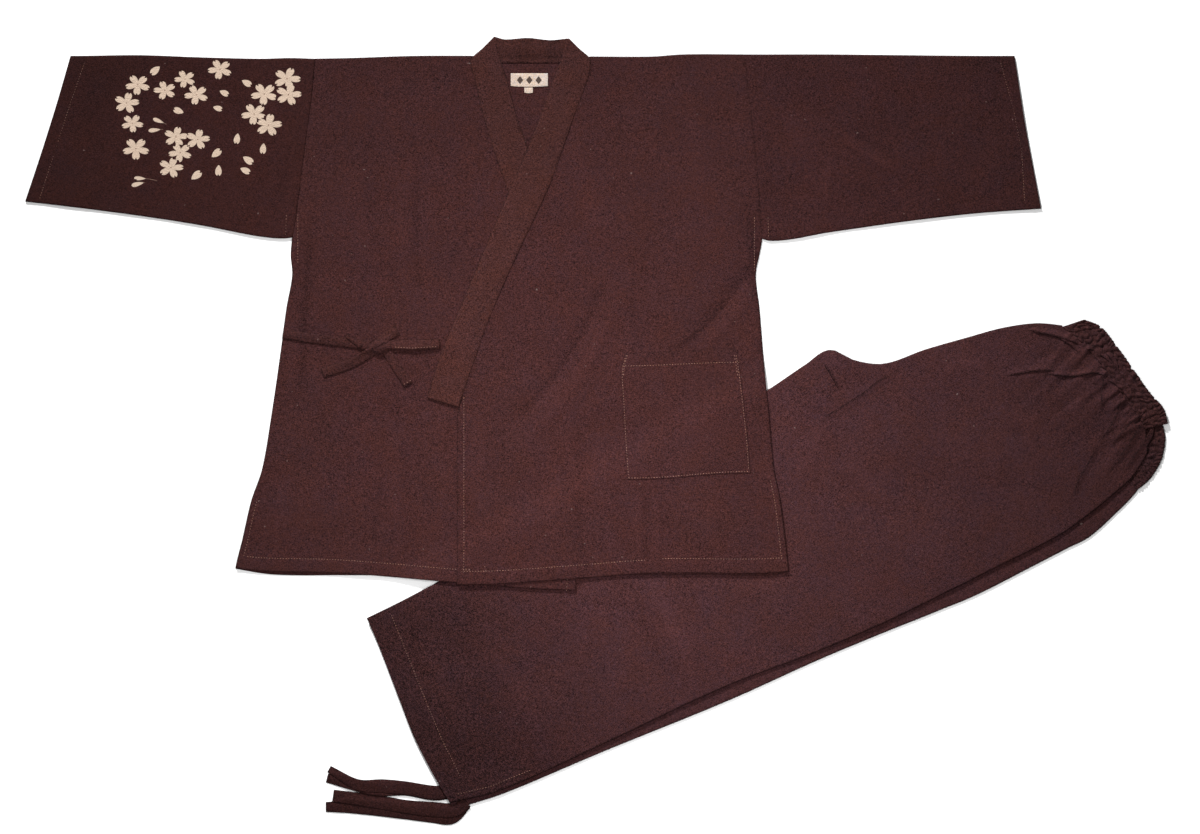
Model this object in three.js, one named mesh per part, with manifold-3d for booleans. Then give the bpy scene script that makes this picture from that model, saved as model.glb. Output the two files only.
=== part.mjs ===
// Samue laid flat: a wrap-over work jacket with ties, and its trousers folded in half beneath it.
//
// Millimetres, +Z up. The garment rests on the plane z = 0 and faces up.
// +X points to the garment's right as it is seen from above, +Y towards the collar.
// "wearer right" is the side at -X. The jacket's own frame starts at the middle of its shoulder line
// and its tables count "down" from there. The trousers' own frame starts at the middle of their ankle
// hem: "along" runs up the leg to the waist and "out" runs across it, towards the inside leg.
import * as THREE from 'three';
import { mergeVertices } from 'three/addons/utils/BufferGeometryUtils.js';
import Module from 'manifold-3d';

const wasm = await Module();
wasm.setup();

// Cloth
const WALL = 1.2;
const SEAM_GAP = 0.3;
const COLLAR_WALL = 2.4;
const LEG_WALL = 2.4;
const TIE_WALL = 1.4;
const SLEEVE_HOLLOW = 0.8;
const LEG_HOLLOW = 0.4;
const COLLAR_SEAM = SEAM_GAP + 0.05;
const SIDE_SEAM = SEAM_GAP + 0.1;
const SLEEVE_FOLD = WALL + 0.6;
const BEYOND = 14;

// Where the two garments lie
const JACKET_AT = { x: -93, y: 520 };
const LEGS_AT = { x: -253, y: -393 };
const LEG_TURN = 25.5 * Math.PI / 180;
const LEGS_HIGH = 2 * LEG_WALL + 2 * SEAM_GAP;

// Grid on which every layer is laid, so that the layers follow each other
const BODY_STEP = { x: 21, y: 25 };
const LEG_STEP = { along: 33, near: 10, out: 15 };
const SHIRRED_FROM = 925;
const COVER_REACH = 33;
const COVER_RAMP = 34;
const FOLDS_CLEAR = 38;
const LEVEL = 1e-4;
const CUTTER = { from: -30, high: 80 };
const JACKET_FIELD = { x0: -718, x1: 728, down0: -42, down1: 756 };
const LEG_FIELD = { along0: -190, along1: 1133, out0: -204, out1: 216 };
const ANKLE_FIELD = { along0: -200, along1: 40, out0: -204, out1: 20, step: 12 };

// Jacket body: the two side seams, counted down from the shoulder
const BODY_ROWS = [
  { down: -4, right: -301, left: 300 },
  { down: 60, right: -307, left: 308 },
  { down: 143, right: -318, left: 317 },
  { down: 222, right: -328, left: 323 },
  { down: 252, right: -333, left: 325 },
  { down: 276, right: -335, left: 321 },
  { down: 304, right: -333, left: 316 },
  { down: 350, right: -341, left: 321 },
  { down: 410, right: -349, left: 326 },
  { down: 500, right: -362, left: 334 },
  { down: 575, right: -375, left: 341 },
  { down: 619, right: -390, left: 350 },
  { down: 675, right: -403, left: 357 },
  { down: 712, right: -412, left: 361 },
  { down: 760, right: -418, left: 366 },
];

// Jacket shoulder line, and the hems: how far down each one hangs, across the garment
const SHOULDER_ROWS = [
  { x: -302, down: 1 },
  { x: -250, down: 0 },
  { x: -150, down: -3 },
  { x: 86, down: -2 },
  { x: 170, down: -2 },
  { x: 215, down: -5 },
  { x: 301, down: -5 },
];
const RIGHT_HEM = [
  { x: -418, down: 713 },
  { x: -377, down: 718 },
  { x: -266, down: 721 },
  { x: -104, down: 734 },
  { x: 14, down: 743 },
  { x: 70, down: 745 },
];
const LEFT_HEM = [
  { x: -104, down: 737 },
  { x: -46, down: 736 },
  { x: 70, down: 728 },
  { x: 168, down: 721 },
  { x: 322, down: 721 },
  { x: 370, down: 718 },
];
const BACK_HEM = [
  { x: -418, down: 714 },
  { x: -360, down: 723 },
  { x: -266, down: 724 },
  { x: -80, down: 724 },
  { x: 250, down: 723 },
  { x: 333, down: 724 },
  { x: 370, down: 717 },
];

// Collar band: its folded inner edge and the seam to the front, on both sides of the neck
const RIGHT_COLLAR = [
  { down: -30, inner: -47, seam: -50 },
  { down: -14, inner: -44, seam: -66 },
  { down: 3, inner: -41, seam: -83 },
  { down: 31, inner: -32, seam: -77 },
  { down: 80, inner: -19, seam: -66 },
  { down: 126, inner: -3, seam: -52 },
  { down: 188, inner: 17, seam: -31 },
  { down: 300, inner: 52, seam: 4 },
  { down: 478, inner: 107, seam: 61 },
];
const LEFT_COLLAR = [
  { down: -28, inner: 51, seam: 54 },
  { down: -14, inner: 47, seam: 68 },
  { down: 3, inner: 43, seam: 85 },
  { down: 31, inner: 32, seam: 81 },
  { down: 80, inner: 15, seam: 63 },
  { down: 126, inner: -3, seam: 47 },
  { down: 188, inner: -30, seam: 24 },
  { down: 283, inner: -70, seam: -21 },
  { down: 367, inner: -105, seam: -57 },
  { down: 412, inner: -124, seam: -73 },
  { down: 476, inner: -144, seam: -95 },
];
const COLLAR_END = { inner: 476, seam: 489 };
const NECK_TOP = [
  { x: -47, down: -29 },
  { x: -35, down: -26 },
  { x: -3, down: -28 },
  { x: 28, down: -25 },
  { x: 51, down: -27 },
];
const NECK_FOOT = 7;
const UNDERLAP_EDGE = 64;
const OVERLAP_EDGE = -102;

// Sleeves: counted out from the body, with the shoulder fold and the underarm seam
const RIGHT_SLEEVE = [
  { x: -302, top: 1, foot: 240 },
  { x: -337, top: 0, foot: 252 },
  { x: -378, top: 1, foot: 250 },
  { x: -462, top: -1, foot: 234 },
  { x: -546, top: -4, foot: 221 },
  { x: -630, top: -3, foot: 210 },
  { x: -707, top: -3, foot: 201 },
];
const LEFT_SLEEVE = [
  { x: 301, top: -5, foot: 240 },
  { x: 336, top: -5, foot: 256 },
  { x: 420, top: -5, foot: 244 },
  { x: 518, top: -4, foot: 230 },
  { x: 620, top: -3, foot: 218 },
  { x: 716, top: -3, foot: 211 },
];
const RIGHT_CUFF = [
  { x: -643, down: -3 },
  { x: -663, down: 66 },
  { x: -685, down: 136 },
  { x: -707, down: 202 },
];
const LEFT_CUFF = [
  { x: 678, down: -1 },
  { x: 692, down: 87 },
  { x: 704, down: 152 },
  { x: 715, down: 210 },
];
const UNDERARM = 222;
const SLIT_FOOT = 252;

// Patch pocket on the wearer's left front, and the label inside the back neck
const POCKET_ROWS = [
  { down: 413, near: 133, far: 290 },
  { down: 437, near: 127, far: 294 },
  { down: 479, near: 129, far: 299 },
  { down: 535, near: 132, far: 305 },
  { down: 590, near: 136, far: 309 },
];
const POCKET_FOOT_RISE = 9;
const LABEL = { x: -1, down: 31, width: 52, height: 19, wall: 1.0 };
const LABEL_TAB = { x: -2, down: 45.5, width: 12, height: 8 };

// Jacket ties: narrow strips lying on the wearer's right front, knotted at the side
const TIE_WIDTH = 15;
const KNOT = { x: -211, down: 404, length: 27, width: 19, high: 4.6, centre: 0.42, room: 0.8 };
const JACKET_TIES = [
  { name: 'tie_side', rows: [
    { x: -346, down: 386 }, { x: -300, down: 393 }, { x: -226, down: 402 },
  ] },
  { name: 'tie_side_end', rows: [
    { x: -201, down: 408 }, { x: -187, down: 432 }, { x: -170, down: 458 },
  ] },
  { name: 'tie_front', rows: [
    { x: -208, down: 400 }, { x: -165, down: 402 }, { x: -130, down: 401 },
  ] },
  { name: 'tie_front_bow', rows: [
    { x: -216, down: 404 }, { x: -240, down: 422 }, { x: -262, down: 432 }, { x: -291, down: 441 },
  ] },
  { name: 'tie_front_end', rows: [
    { x: -210, down: 398 }, { x: -199, down: 388 }, { x: -186, down: 382 },
  ] },
];

// Trousers: both edges of the folded leg, counted up from the ankle hem
const UPPER_LEG_ROWS = [
  { along: -12, inside: 146, side: -137 },
  { along: 60, inside: 147, side: -152 },
  { along: 210, inside: 155, side: -155 },
  { along: 400, inside: 170, side: -156 },
  { along: 540, inside: 183, side: -167 },
  { along: 640, inside: 193, side: -171 },
  { along: 700, inside: 202, side: -171 },
  { along: 741, inside: 206, side: -170 },
  { along: 765, inside: 178, side: -170 },
  { along: 800, inside: 156, side: -169 },
  { along: 860, inside: 149, side: -168 },
  { along: 920, inside: 139, side: -166 },
  { along: 970, inside: 130, side: -157 },
  { along: 1015, inside: 116, side: -146 },
  { along: 1045, inside: 99, side: -137 },
  { along: 1070, inside: 80, side: -122 },
  { along: 1100, inside: 50, side: -98 },
];
const LOWER_LEG_ROWS = [
  { along: -12, inside: 140, side: -148 },
  { along: 60, inside: 143, side: -158 },
  { along: 210, inside: 152, side: -165 },
  { along: 400, inside: 166, side: -176 },
  { along: 540, inside: 179, side: -179 },
  { along: 640, inside: 189, side: -184 },
  { along: 700, inside: 196, side: -188 },
  { along: 735, inside: 199, side: -190 },
  { along: 765, inside: 171, side: -192 },
  { along: 800, inside: 150, side: -192 },
  { along: 860, inside: 144, side: -190 },
  { along: 920, inside: 134, side: -188 },
  { along: 955, inside: 127, side: -187 },
  { along: 1000, inside: 113, side: -174 },
  { along: 1045, inside: 92, side: -157 },
  { along: 1100, inside: 50, side: -124 },
];
const ANKLE_HEM = [
  { out: 160, along: -6 },
  { out: 116, along: -7 },
  { out: 22, along: -14 },
  { out: -34, along: -18 },
  { out: -111, along: -15 },
  { out: -170, along: -8 },
];

// Elastic waist casing: the seam to the leg and the outer edge, down from the rise to the side
const UPPER_WAIST_ROWS = [
  { seamAlong: 1047, seamOut: 95, edgeAlong: 1080, edgeOut: 91 },
  { seamAlong: 1060, seamOut: 68, edgeAlong: 1097, edgeOut: 71 },
  { seamAlong: 1069, seamOut: 40, edgeAlong: 1105, edgeOut: 39 },
  { seamAlong: 1076, seamOut: 5, edgeAlong: 1112, edgeOut: 0 },
  { seamAlong: 1082, seamOut: -30, edgeAlong: 1119, edgeOut: -41 },
  { seamAlong: 1087, seamOut: -58, edgeAlong: 1127, edgeOut: -69 },
  { seamAlong: 1090, seamOut: -84, edgeAlong: 1123, edgeOut: -91 },
];
const LOWER_WAIST_ROWS = [
  { seamAlong: 1045, seamOut: 86, edgeAlong: 1066, edgeOut: 86 },
  { seamAlong: 1065, seamOut: 30, edgeAlong: 1099, edgeOut: 30 },
  { seamAlong: 1078, seamOut: -40, edgeAlong: 1110, edgeOut: -45 },
  { seamAlong: 1078, seamOut: -80, edgeAlong: 1115, edgeOut: -95 },
  { seamAlong: 1063, seamOut: -108, edgeAlong: 1098, edgeOut: -128 },
  { seamAlong: 1052, seamOut: -118, edgeAlong: 1070, edgeOut: -149 },
  { seamAlong: 1040, seamOut: -127, edgeAlong: 1043, edgeOut: -157 },
];
const SIDE_CORNER = { upper: 1078, lower: 1042 };
const SHIRRING = { waves: 40, lowerWaves: 18, height: 0.9, edge: 1.2, lift: 0.8 };

// Ankle ties, two from each leg's side corner, each narrower where it turns on its edge
const ANKLE_TIES = [
  { name: 'ankle_tie_lower_2', rows: [
    { along: 18, out: -153, wide: 19 }, { along: -19, out: -157, wide: 19 },
    { along: -44, out: -143, wide: 19 }, { along: -75, out: -123, wide: 19 },
    { along: -137, out: -85, wide: 18 }, { along: -172, out: -68, wide: 14 },
  ] },
  { name: 'ankle_tie_lower_1', rows: [
    { along: 12, out: -150, wide: 19 }, { along: -12, out: -150, wide: 19 },
    { along: -41, out: -135, wide: 19 }, { along: -72, out: -115, wide: 19 },
    { along: -106, out: -91, wide: 19 }, { along: -156, out: -58, wide: 17 },
  ] },
  { name: 'ankle_tie_upper_2', rows: [
    { along: 4, out: -126, wide: 19 }, { along: -26, out: -117, wide: 19 },
    { along: -60, out: -94, wide: 18 }, { along: -98, out: -76, wide: 18 },
    { along: -127, out: -54, wide: 15 }, { along: -153, out: -32, wide: 13 },
  ] },
  { name: 'ankle_tie_upper_1', rows: [
    { along: 4, out: -124, wide: 19 }, { along: -24, out: -116, wide: 19 },
    { along: -60, out: -92, wide: 19 }, { along: -87, out: -76, wide: 19 },
    { along: -119, out: -58, wide: 15 }, { along: -145, out: -22, wide: 10 },
  ] },
];

// How far, and how softly, a strip is raised beside the strips that it lies on
const TIE_COVER = { reach: 9.5, ramp: 14 };
const ANKLE_COVER = { reach: 18, ramp: 20 };

// Opening of a leg at its ankle, in from the hem
const MOUTH = { outside: -60, inside: 60, side: -126, rise: 124 };

// Largest folds, as soft ridges between two places: the layer they are in, how high and how wide
const JACKET_FOLDS = [
  { on: 'left_front', x0: 305, down0: 262, x1: 190, down1: 405, high: 3.0, wide: 34 },
  { on: 'left_front', x0: 98, down0: 300, x1: -20, down1: 545, high: 2.2, wide: 38 },
  { on: 'left_front', x0: 150, down0: 600, x1: 156, down1: 705, high: 1.8, wide: 32 },
  { on: 'right_front', x0: -310, down0: 350, x1: -318, down1: 520, high: 1.8, wide: 34 },
  { on: 'right_front', x0: -158, down0: 160, x1: -172, down1: 340, high: 1.6, wide: 36 },
  { on: 'left_sleeve', x0: 420, down0: 100, x1: 520, down1: 165, high: 2.2, wide: 32 },
  { on: 'right_sleeve', x0: -345, down0: 60, x1: -400, down1: 190, high: 1.8, wide: 34 },
];
const LEG_FOLDS = [
  { along0: 1000, out0: 112, along1: 1062, out1: 62, high: 3.2, wide: 22 },
  { along0: 955, out0: 58, along1: 1062, out1: 18, high: 2.8, wide: 24 },
  { along0: 940, out0: -140, along1: 1068, out1: -40, high: 3.0, wide: 24 },
  { along0: 1012, out0: -118, along1: 1084, out1: -66, high: 2.2, wide: 18 },
  { along0: 990, out0: 10, along1: 1075, out1: -12, high: 2.0, wide: 20 },
  { along0: 1020, out0: 88, along1: 1072, out1: 40, high: 2.0, wide: 16 },
  { along0: 1030, out0: -52, along1: 1082, out1: -22, high: 2.2, wide: 16 },
  { along0: 1036, out0: -92, along1: 1088, out1: -52, high: 2.0, wide: 15 },
  { along0: 1000, out0: 34, along1: 1072, out1: 20, high: 1.8, wide: 16 },
  { along0: 700, out0: 120, along1: 792, out1: 126, high: 2.2, wide: 40 },
  { along0: 362, out0: 10, along1: 360, out1: -130, high: 1.8, wide: 52 },
  { along0: 683, out0: 60, along1: 722, out1: -30, high: 1.6, wide: 44 },
];

// Colours of the dyed cotton and the label
const CLOTH_DARK = 0x4c2e2d;
const CLOTH_SLEEVE = 0x3f2727;
const CLOTH_COLLAR = 0x4f302e;
const CLOTH_LEG = 0x4b3031;
const CLOTH_WAIST = 0x432b2a;
const LABEL_CREAM = 0xe9dfcf;

const smooth = (t) => t * t * (3 - 2 * t);
const clamp = (t, low = 0, high = 1) => Math.min(high, Math.max(low, t));

// Value of one column of a table at a place along its key, on a soft curve through the rows
function column(rows, key, name, at) {
  const up = rows[rows.length - 1][key] > rows[0][key];
  let i = 1;
  while (i < rows.length - 1 && (up ? rows[i][key] < at : rows[i][key] > at)) {
    i += 1;
  }
  const a = rows[i - 1];
  const b = rows[i];
  const span = b[key] - a[key];
  const t = (at - a[key]) / span;
  if (t <= 0 || t >= 1) {
    return a[name] + (b[name] - a[name]) * t;
  }
  const before = rows[i - 2] ?? a;
  const after = rows[i + 1] ?? b;
  const slopeA = (b[name] - before[name]) / (b[key] - before[key]) * span;
  const slopeB = (after[name] - a[name]) / (after[key] - a[key]) * span;
  const t2 = t * t;
  const t3 = t2 * t;
  return (2 * t3 - 3 * t2 + 1) * a[name] + (t3 - 2 * t2 + t) * slopeA
    + (3 * t2 - 2 * t3) * b[name] + (t3 - t2) * slopeB;
}

// Places from one key value to another, about one step apart
function spread(from, to, step) {
  const count = Math.max(1, Math.round(Math.abs(to - from) / step));
  return Array.from({ length: count + 1 }, (_, i) => from + (to - from) * i / count);
}

// One edge of a panel, as points: the key runs one way and the column gives the other
function edge(rows, key, name, from, to, step, point) {
  return spread(from, to, step).map((at) => point(at, column(rows, key, name, at)));
}

const inJacket = (x, down) => [JACKET_AT.x + x, JACKET_AT.y - down];
const legCos = Math.cos(LEG_TURN);
const legSin = Math.sin(LEG_TURN);
const inLegs = (along, out) => [
  LEGS_AT.x + along * legCos - out * legSin,
  LEGS_AT.y + along * legSin + out * legCos,
];

const ownJacket = ([x, y]) => [x - JACKET_AT.x, JACKET_AT.y - y];
const ownLegs = ([x, y]) => {
  const dx = x - LEGS_AT.x;
  const dy = y - LEGS_AT.y;
  return [dx * legCos + dy * legSin, dy * legCos - dx * legSin];
};

// Distance from a point to an outline, negative inside it
function reachOf(outline, x, y) {
  let nearest = Infinity;
  let inside = false;
  for (let i = 0, j = outline.length - 1; i < outline.length; j = i, i += 1) {
    const [ax, ay] = outline[j];
    const [bx, by] = outline[i];
    const dx = bx - ax;
    const dy = by - ay;
    const t = clamp(((x - ax) * dx + (y - ay) * dy) / (dx * dx + dy * dy || 1));
    nearest = Math.min(nearest, Math.hypot(x - ax - t * dx, y - ay - t * dy));
    if ((ay > y) !== (by > y) && x < (bx - ax) * (y - ay) / (by - ay) + ax) {
      inside = !inside;
    }
  }
  return inside ? -nearest : nearest;
}

// 1 over an outline and its surroundings, falling softly to 0 outside
const cover = (outline, reach = COVER_REACH, ramp = COVER_RAMP) => (x, y) => (
  smooth(clamp(1 - (reachOf(outline, x, y) - reach) / ramp))
);

// Soft ridge between two places, tapered at both ends
function ridge(x, y, x0, y0, x1, y1, high, wide) {
  const dx = x1 - x0;
  const dy = y1 - y0;
  const t = ((x - x0) * dx + (y - y0) * dy) / (dx * dx + dy * dy);
  const off = Math.hypot(x - x0 - t * dx, y - y0 - t * dy) / wide;
  const along = clamp((t + 0.15) / 0.4) * clamp((1.15 - t) / 0.4);
  return off < 1 ? high * smooth(1 - off) * smooth(along) : 0;
}

// Outlines of the flat pieces, in the part's frame
const ARMHOLE_DOWNS = spread(20, UNDERARM, 50);
const bodyPoint = (side, shift = 0) => (d) => inJacket(column(BODY_ROWS, 'down', side, d) + shift, d);
const bodySide = (side, to) => [
  ...ARMHOLE_DOWNS,
  ...spread(SLIT_FOOT, to, 36),
].map(bodyPoint(side));
const hemOf = (rows, from, to) => edge(rows, 'x', 'down', from, to, 55, (x, d) => inJacket(x, d));
const shoulder = (from, to) => edge(SHOULDER_ROWS, 'x', 'down', from, to, 50, (x, d) => inJacket(x, d));
const COLLAR_DOWNS = spread(3, 470, 40);
const seamPoint = (rows, shift) => (d) => inJacket(column(rows, 'down', 'seam', d) + shift, d);
const collarSeam = (rows, side) => COLLAR_DOWNS.map(seamPoint(rows, side * COLLAR_SEAM));

const backOutline = [
  ...shoulder(-301, 300),
  ...bodySide('left', 713),
  ...hemOf(BACK_HEM, 360, -411),
  ...bodySide('right', 710).reverse(),
];
const rightFrontOutline = [
  ...shoulder(-301, -84),
  ...collarSeam(RIGHT_COLLAR, -1),
  inJacket(UNDERLAP_EDGE, 496),
  inJacket(UNDERLAP_EDGE, 620),
  ...hemOf(RIGHT_HEM, UNDERLAP_EDGE, -411),
  ...bodySide('right', 710).reverse(),
];
const leftFrontOutline = [
  ...shoulder(300, 86),
  ...collarSeam(LEFT_COLLAR, 1),
  inJacket(OVERLAP_EDGE + 3, COLLAR_END.seam + 2),
  inJacket(OVERLAP_EDGE - 1, 620),
  ...hemOf(LEFT_HEM, OVERLAP_EDGE, 361),
  ...bodySide('left', 713).reverse(),
];

function collarOutline(rows, from, to) {
  return [
    ...edge(rows, 'down', 'inner', from, to.inner, 36, (d, x) => inJacket(x, d)),
    ...[from, -14, ...COLLAR_DOWNS, to.seam].reverse().map(seamPoint(rows, 0)),
  ];
}
const rightCollarOutline = collarOutline(RIGHT_COLLAR, -29, { inner: 478, seam: 492 });
const leftCollarOutline = collarOutline(LEFT_COLLAR, -27, COLLAR_END);
const neckOutline = [
  ...edge(NECK_TOP, 'x', 'down', -46, 50, 16, (x, d) => inJacket(x, d)),
  inJacket(45, 6),
  inJacket(38, NECK_FOOT),
  inJacket(-36, NECK_FOOT),
  inJacket(-43, 6),
];

// A sleeve lies flat: shoulder fold, cuff, underarm seam, open slit and armhole. Its hollow is the
// same shape drawn in along the two long edges and let out beyond the cuff and the armhole.
function sleeveOutline(rows, cuff, sign, side, inset, beyond) {
  const gap = sign * (SIDE_SEAM - beyond);
  const start = column(BODY_ROWS, 'down', side, 0) + gap;
  const slit = column(BODY_ROWS, 'down', side, SLIT_FOOT) + sign * (SIDE_SEAM + inset);
  const tip = (row) => row.x + sign * beyond;
  const last = cuff[cuff.length - 1];
  return [
    ...edge(rows, 'x', 'top', start, tip(cuff[0]), 60, (x, d) => inJacket(x, d + inset)),
    ...cuff.slice(1, -1).map((row) => inJacket(tip(row), row.down)),
    inJacket(tip(last), last.down - inset),
    ...edge(rows, 'x', 'foot', last.x - sign * 50, slit + sign * 12, 55, (x, d) => inJacket(x, d - inset)),
    inJacket(slit, SLIT_FOOT - inset),
    inJacket(slit, UNDERARM + 12),
    ...ARMHOLE_DOWNS.map((d) => (d === UNDERARM ? d - 4 * inset : d)).map(bodyPoint(side, gap)).reverse(),
  ];
}
const rightSleeveOutline = sleeveOutline(RIGHT_SLEEVE, RIGHT_CUFF, -1, 'right', 0, 0);
const leftSleeveOutline = sleeveOutline(LEFT_SLEEVE, LEFT_CUFF, 1, 'left', 0, 0);
const rightSleeveHollow = sleeveOutline(RIGHT_SLEEVE, RIGHT_CUFF, -1, 'right', SLEEVE_FOLD, BEYOND);
const leftSleeveHollow = sleeveOutline(LEFT_SLEEVE, LEFT_CUFF, 1, 'left', SLEEVE_FOLD, BEYOND);

const pocketFoot = POCKET_ROWS[POCKET_ROWS.length - 1];
const pocketOutline = [
  ...edge(POCKET_ROWS, 'down', 'near', POCKET_ROWS[0].down, pocketFoot.down, 60, (d, x) => inJacket(x, d)),
  inJacket((pocketFoot.near + pocketFoot.far) / 2, pocketFoot.down - 1),
  ...edge(POCKET_ROWS, 'down', 'far', pocketFoot.down - POCKET_FOOT_RISE, POCKET_ROWS[0].down - 5, 60,
    (d, x) => inJacket(x, d)),
];

function patch(at) {
  const side = at.width / 2;
  const rise = at.height / 2;
  return [[-side, -rise], [side, -rise], [side, rise], [-side, rise]]
    .map(([x, down]) => inJacket(at.x + x, at.down + down));
}

function legOutline(rows, seam, corner, hemShift) {
  return [
    ...edge(rows, 'along', 'inside', 50, 1030, 34, inLegs),
    ...seam.map((row) => inLegs(row.seamAlong - SIDE_SEAM, row.seamOut)),
    ...edge(rows, 'along', 'side', corner, 50, 50, inLegs),
    ...edge(ANKLE_HEM, 'out', 'along', rows[0].side, rows[0].inside, 60, (out, along) => (
      inLegs(along + hemShift, out)
    )),
  ];
}
const upperLegOutline = legOutline(UPPER_LEG_ROWS, UPPER_WAIST_ROWS, SIDE_CORNER.upper, 0);
const lowerLegOutline = legOutline(LOWER_LEG_ROWS, LOWER_WAIST_ROWS, SIDE_CORNER.lower, 2);

// Outline of a flat strip along a row of places
function strip(rows, xName, yName, width, place) {
  const sides = rows.map((row, i) => {
    const before = rows[Math.max(0, i - 1)];
    const after = rows[Math.min(rows.length - 1, i + 1)];
    const dx = after[xName] - before[xName];
    const dy = after[yName] - before[yName];
    const half = (row.wide ?? width) / 2 / Math.hypot(dx, dy);
    return { x: row[xName], y: row[yName], nx: -dy * half, ny: dx * half };
  });
  return [
    ...sides.map((s) => place(s.x + s.nx, s.y + s.ny)),
    ...sides.reverse().map((s) => place(s.x - s.nx, s.y - s.ny)),
  ];
}

// Grids of the two garments
const jacketGrid = {
  us: spread(JACKET_FIELD.x0, JACKET_FIELD.x1, BODY_STEP.x),
  vs: spread(JACKET_FIELD.down0, JACKET_FIELD.down1, BODY_STEP.y),
  place: inJacket,
  own: ownJacket,
};
const legGrid = {
  us: [
    ...spread(LEG_FIELD.along0, SHIRRED_FROM, LEG_STEP.along),
    ...spread(SHIRRED_FROM, LEG_FIELD.along1, LEG_STEP.near).slice(1),
  ],
  vs: spread(LEG_FIELD.out0, LEG_FIELD.out1, LEG_STEP.out),
  place: inLegs,
  own: ownLegs,
};

// The same grid with each cell parted in three both ways, for narrow strips that lie on a panel
const finer = (values) => values.slice(1).flatMap((to, i) => (
  [values[i], values[i] + (to - values[i]) / 3, values[i] + 2 * (to - values[i]) / 3]
)).concat(values[values.length - 1]);

// Height of a panel that is laid on a grid, at any place: flat within each triangle of the grid
function laid(grid, height) {
  const corner = (i, j) => height(...grid.place(grid.us[i], grid.vs[j]));
  return (x, y) => {
    const [u, v] = grid.own([x, y]);
    const i = clamp(grid.us.findLastIndex((at) => at <= u + 1e-6), 0, grid.us.length - 2);
    const j = clamp(grid.vs.findLastIndex((at) => at <= v + 1e-6), 0, grid.vs.length - 2);
    const s = (u - grid.us[i]) / (grid.us[i + 1] - grid.us[i]);
    const t = (v - grid.vs[j]) / (grid.vs[j + 1] - grid.vs[j]);
    const near = corner(i, j);
    const far = corner(i + 1, j + 1);
    return s > t
      ? near + (corner(i + 1, j) - near) * (s - t) + (far - near) * t
      : near + (corner(i, j + 1) - near) * (t - s) + (far - near) * s;
  };
}

// Blocks of neighbouring cells that are level on both faces, and each other cell by itself
function blocks(count, levelAt) {
  const used = new Set();
  const found = [];
  const free = (i, j, level) => (
    i < count.u && j < count.v && !used.has(`${i} ${j}`) && level !== null && levelAt(i, j) === level
  );
  for (let i = 0; i < count.u; i += 1) {
    for (let j = 0; j < count.v; j += 1) {
      if (!used.has(`${i} ${j}`)) {
        const level = levelAt(i, j);
        let wide = 1;
        let long = 1;
        while (free(i, j + long, level)) {
          long += 1;
        }
        const row = () => Array.from({ length: long }, (_, k) => j + k);
        while (row().every((k) => free(i + wide, k, level))) {
          wide += 1;
        }
        for (let m = 0; m < wide; m += 1) {
          row().forEach((k) => used.add(`${i + m} ${k}`));
        }
        found.push({ i, j, wide, long });
      }
    }
  }
  return found;
}

// A closed slab between two heights, on the cells of the grid that an outline touches. A block of
// level cells is one fan of faces, so that only what is shaped has small ones.
function slab(grid, outline, low, high) {
  const fits = (values, index) => {
    const own = outline.map((p) => grid.own(p)[index]);
    const from = values.findLastIndex((v) => v < Math.min(...own) - 1);
    const to = values.findIndex((v) => v > Math.max(...own) + 1);
    return values.slice(Math.max(0, from), to < 0 ? values.length : to + 1);
  };
  const us = fits(grid.us, 0);
  const vs = fits(grid.vs, 1);
  const heights = us.map((u) => vs.map((v) => {
    const [x, y] = grid.place(u, v);
    return [x, y, low(x, y), high(x, y)];
  }));
  const levelAt = (i, j) => {
    const corners = [heights[i][j], heights[i + 1][j], heights[i][j + 1], heights[i + 1][j + 1]];
    const same = (face) => corners.every((corner) => Math.abs(corner[face] - corners[0][face]) < LEVEL);
    return same(2) && same(3) ? `${corners[0][2].toFixed(3)} ${corners[0][3].toFixed(3)}` : null;
  };
  const points = [];
  const faces = [];
  const numbered = new Map();
  const vertex = (i, j, face) => {
    const key = `${i} ${j} ${face}`;
    if (!numbered.has(key)) {
      numbered.set(key, points.length / 3);
      const [x, y] = heights[i][j];
      points.push(x, y, heights[i][j][face]);
    }
    return numbered.get(key);
  };
  for (const { i, j, wide, long } of blocks({ u: us.length - 1, v: vs.length - 1 }, levelAt)) {
    for (const face of [2, 3]) {
      const up = face === 3;
      const add = (a, b, c) => faces.push(a, up ? b : c, up ? c : b);
      if (wide * long === 1) {
        const near = vertex(i, j, face);
        const far = vertex(i + 1, j + 1, face);
        add(near, vertex(i + 1, j, face), far);
        add(near, far, vertex(i, j + 1, face));
      } else {
        const loop = [];
        for (let m = 0; m < wide; m += 1) {
          loop.push([i + m, j]);
        }
        for (let k = 0; k < long; k += 1) {
          loop.push([i + wide, j + k]);
        }
        for (let m = wide; m > 0; m -= 1) {
          loop.push([i + m, j + long]);
        }
        for (let k = long; k > 0; k -= 1) {
          loop.push([i, j + k]);
        }
        const hub = points.length / 3;
        const [x, y] = grid.place((us[i] + us[i + wide]) / 2, (vs[j] + vs[j + long]) / 2);
        points.push(x, y, heights[i][j][face]);
        loop.forEach(([m, k], n) => {
          const [p, q] = loop[(n + 1) % loop.length];
          add(hub, vertex(m, k, face), vertex(p, q, face));
        });
      }
    }
  }
  const wall = (i, j, k, l) => {
    faces.push(vertex(i, j, 2), vertex(k, l, 2), vertex(k, l, 3));
    faces.push(vertex(i, j, 2), vertex(k, l, 3), vertex(i, j, 3));
  };
  const [lastU, lastV] = [us.length - 1, vs.length - 1];
  for (let i = 0; i < lastU; i += 1) {
    wall(i, 0, i + 1, 0);
    wall(i + 1, lastV, i, lastV);
  }
  for (let j = 0; j < lastV; j += 1) {
    wall(lastU, j, lastU, j + 1);
    wall(0, j + 1, 0, j);
  }
  return closed(points, faces);
}

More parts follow.
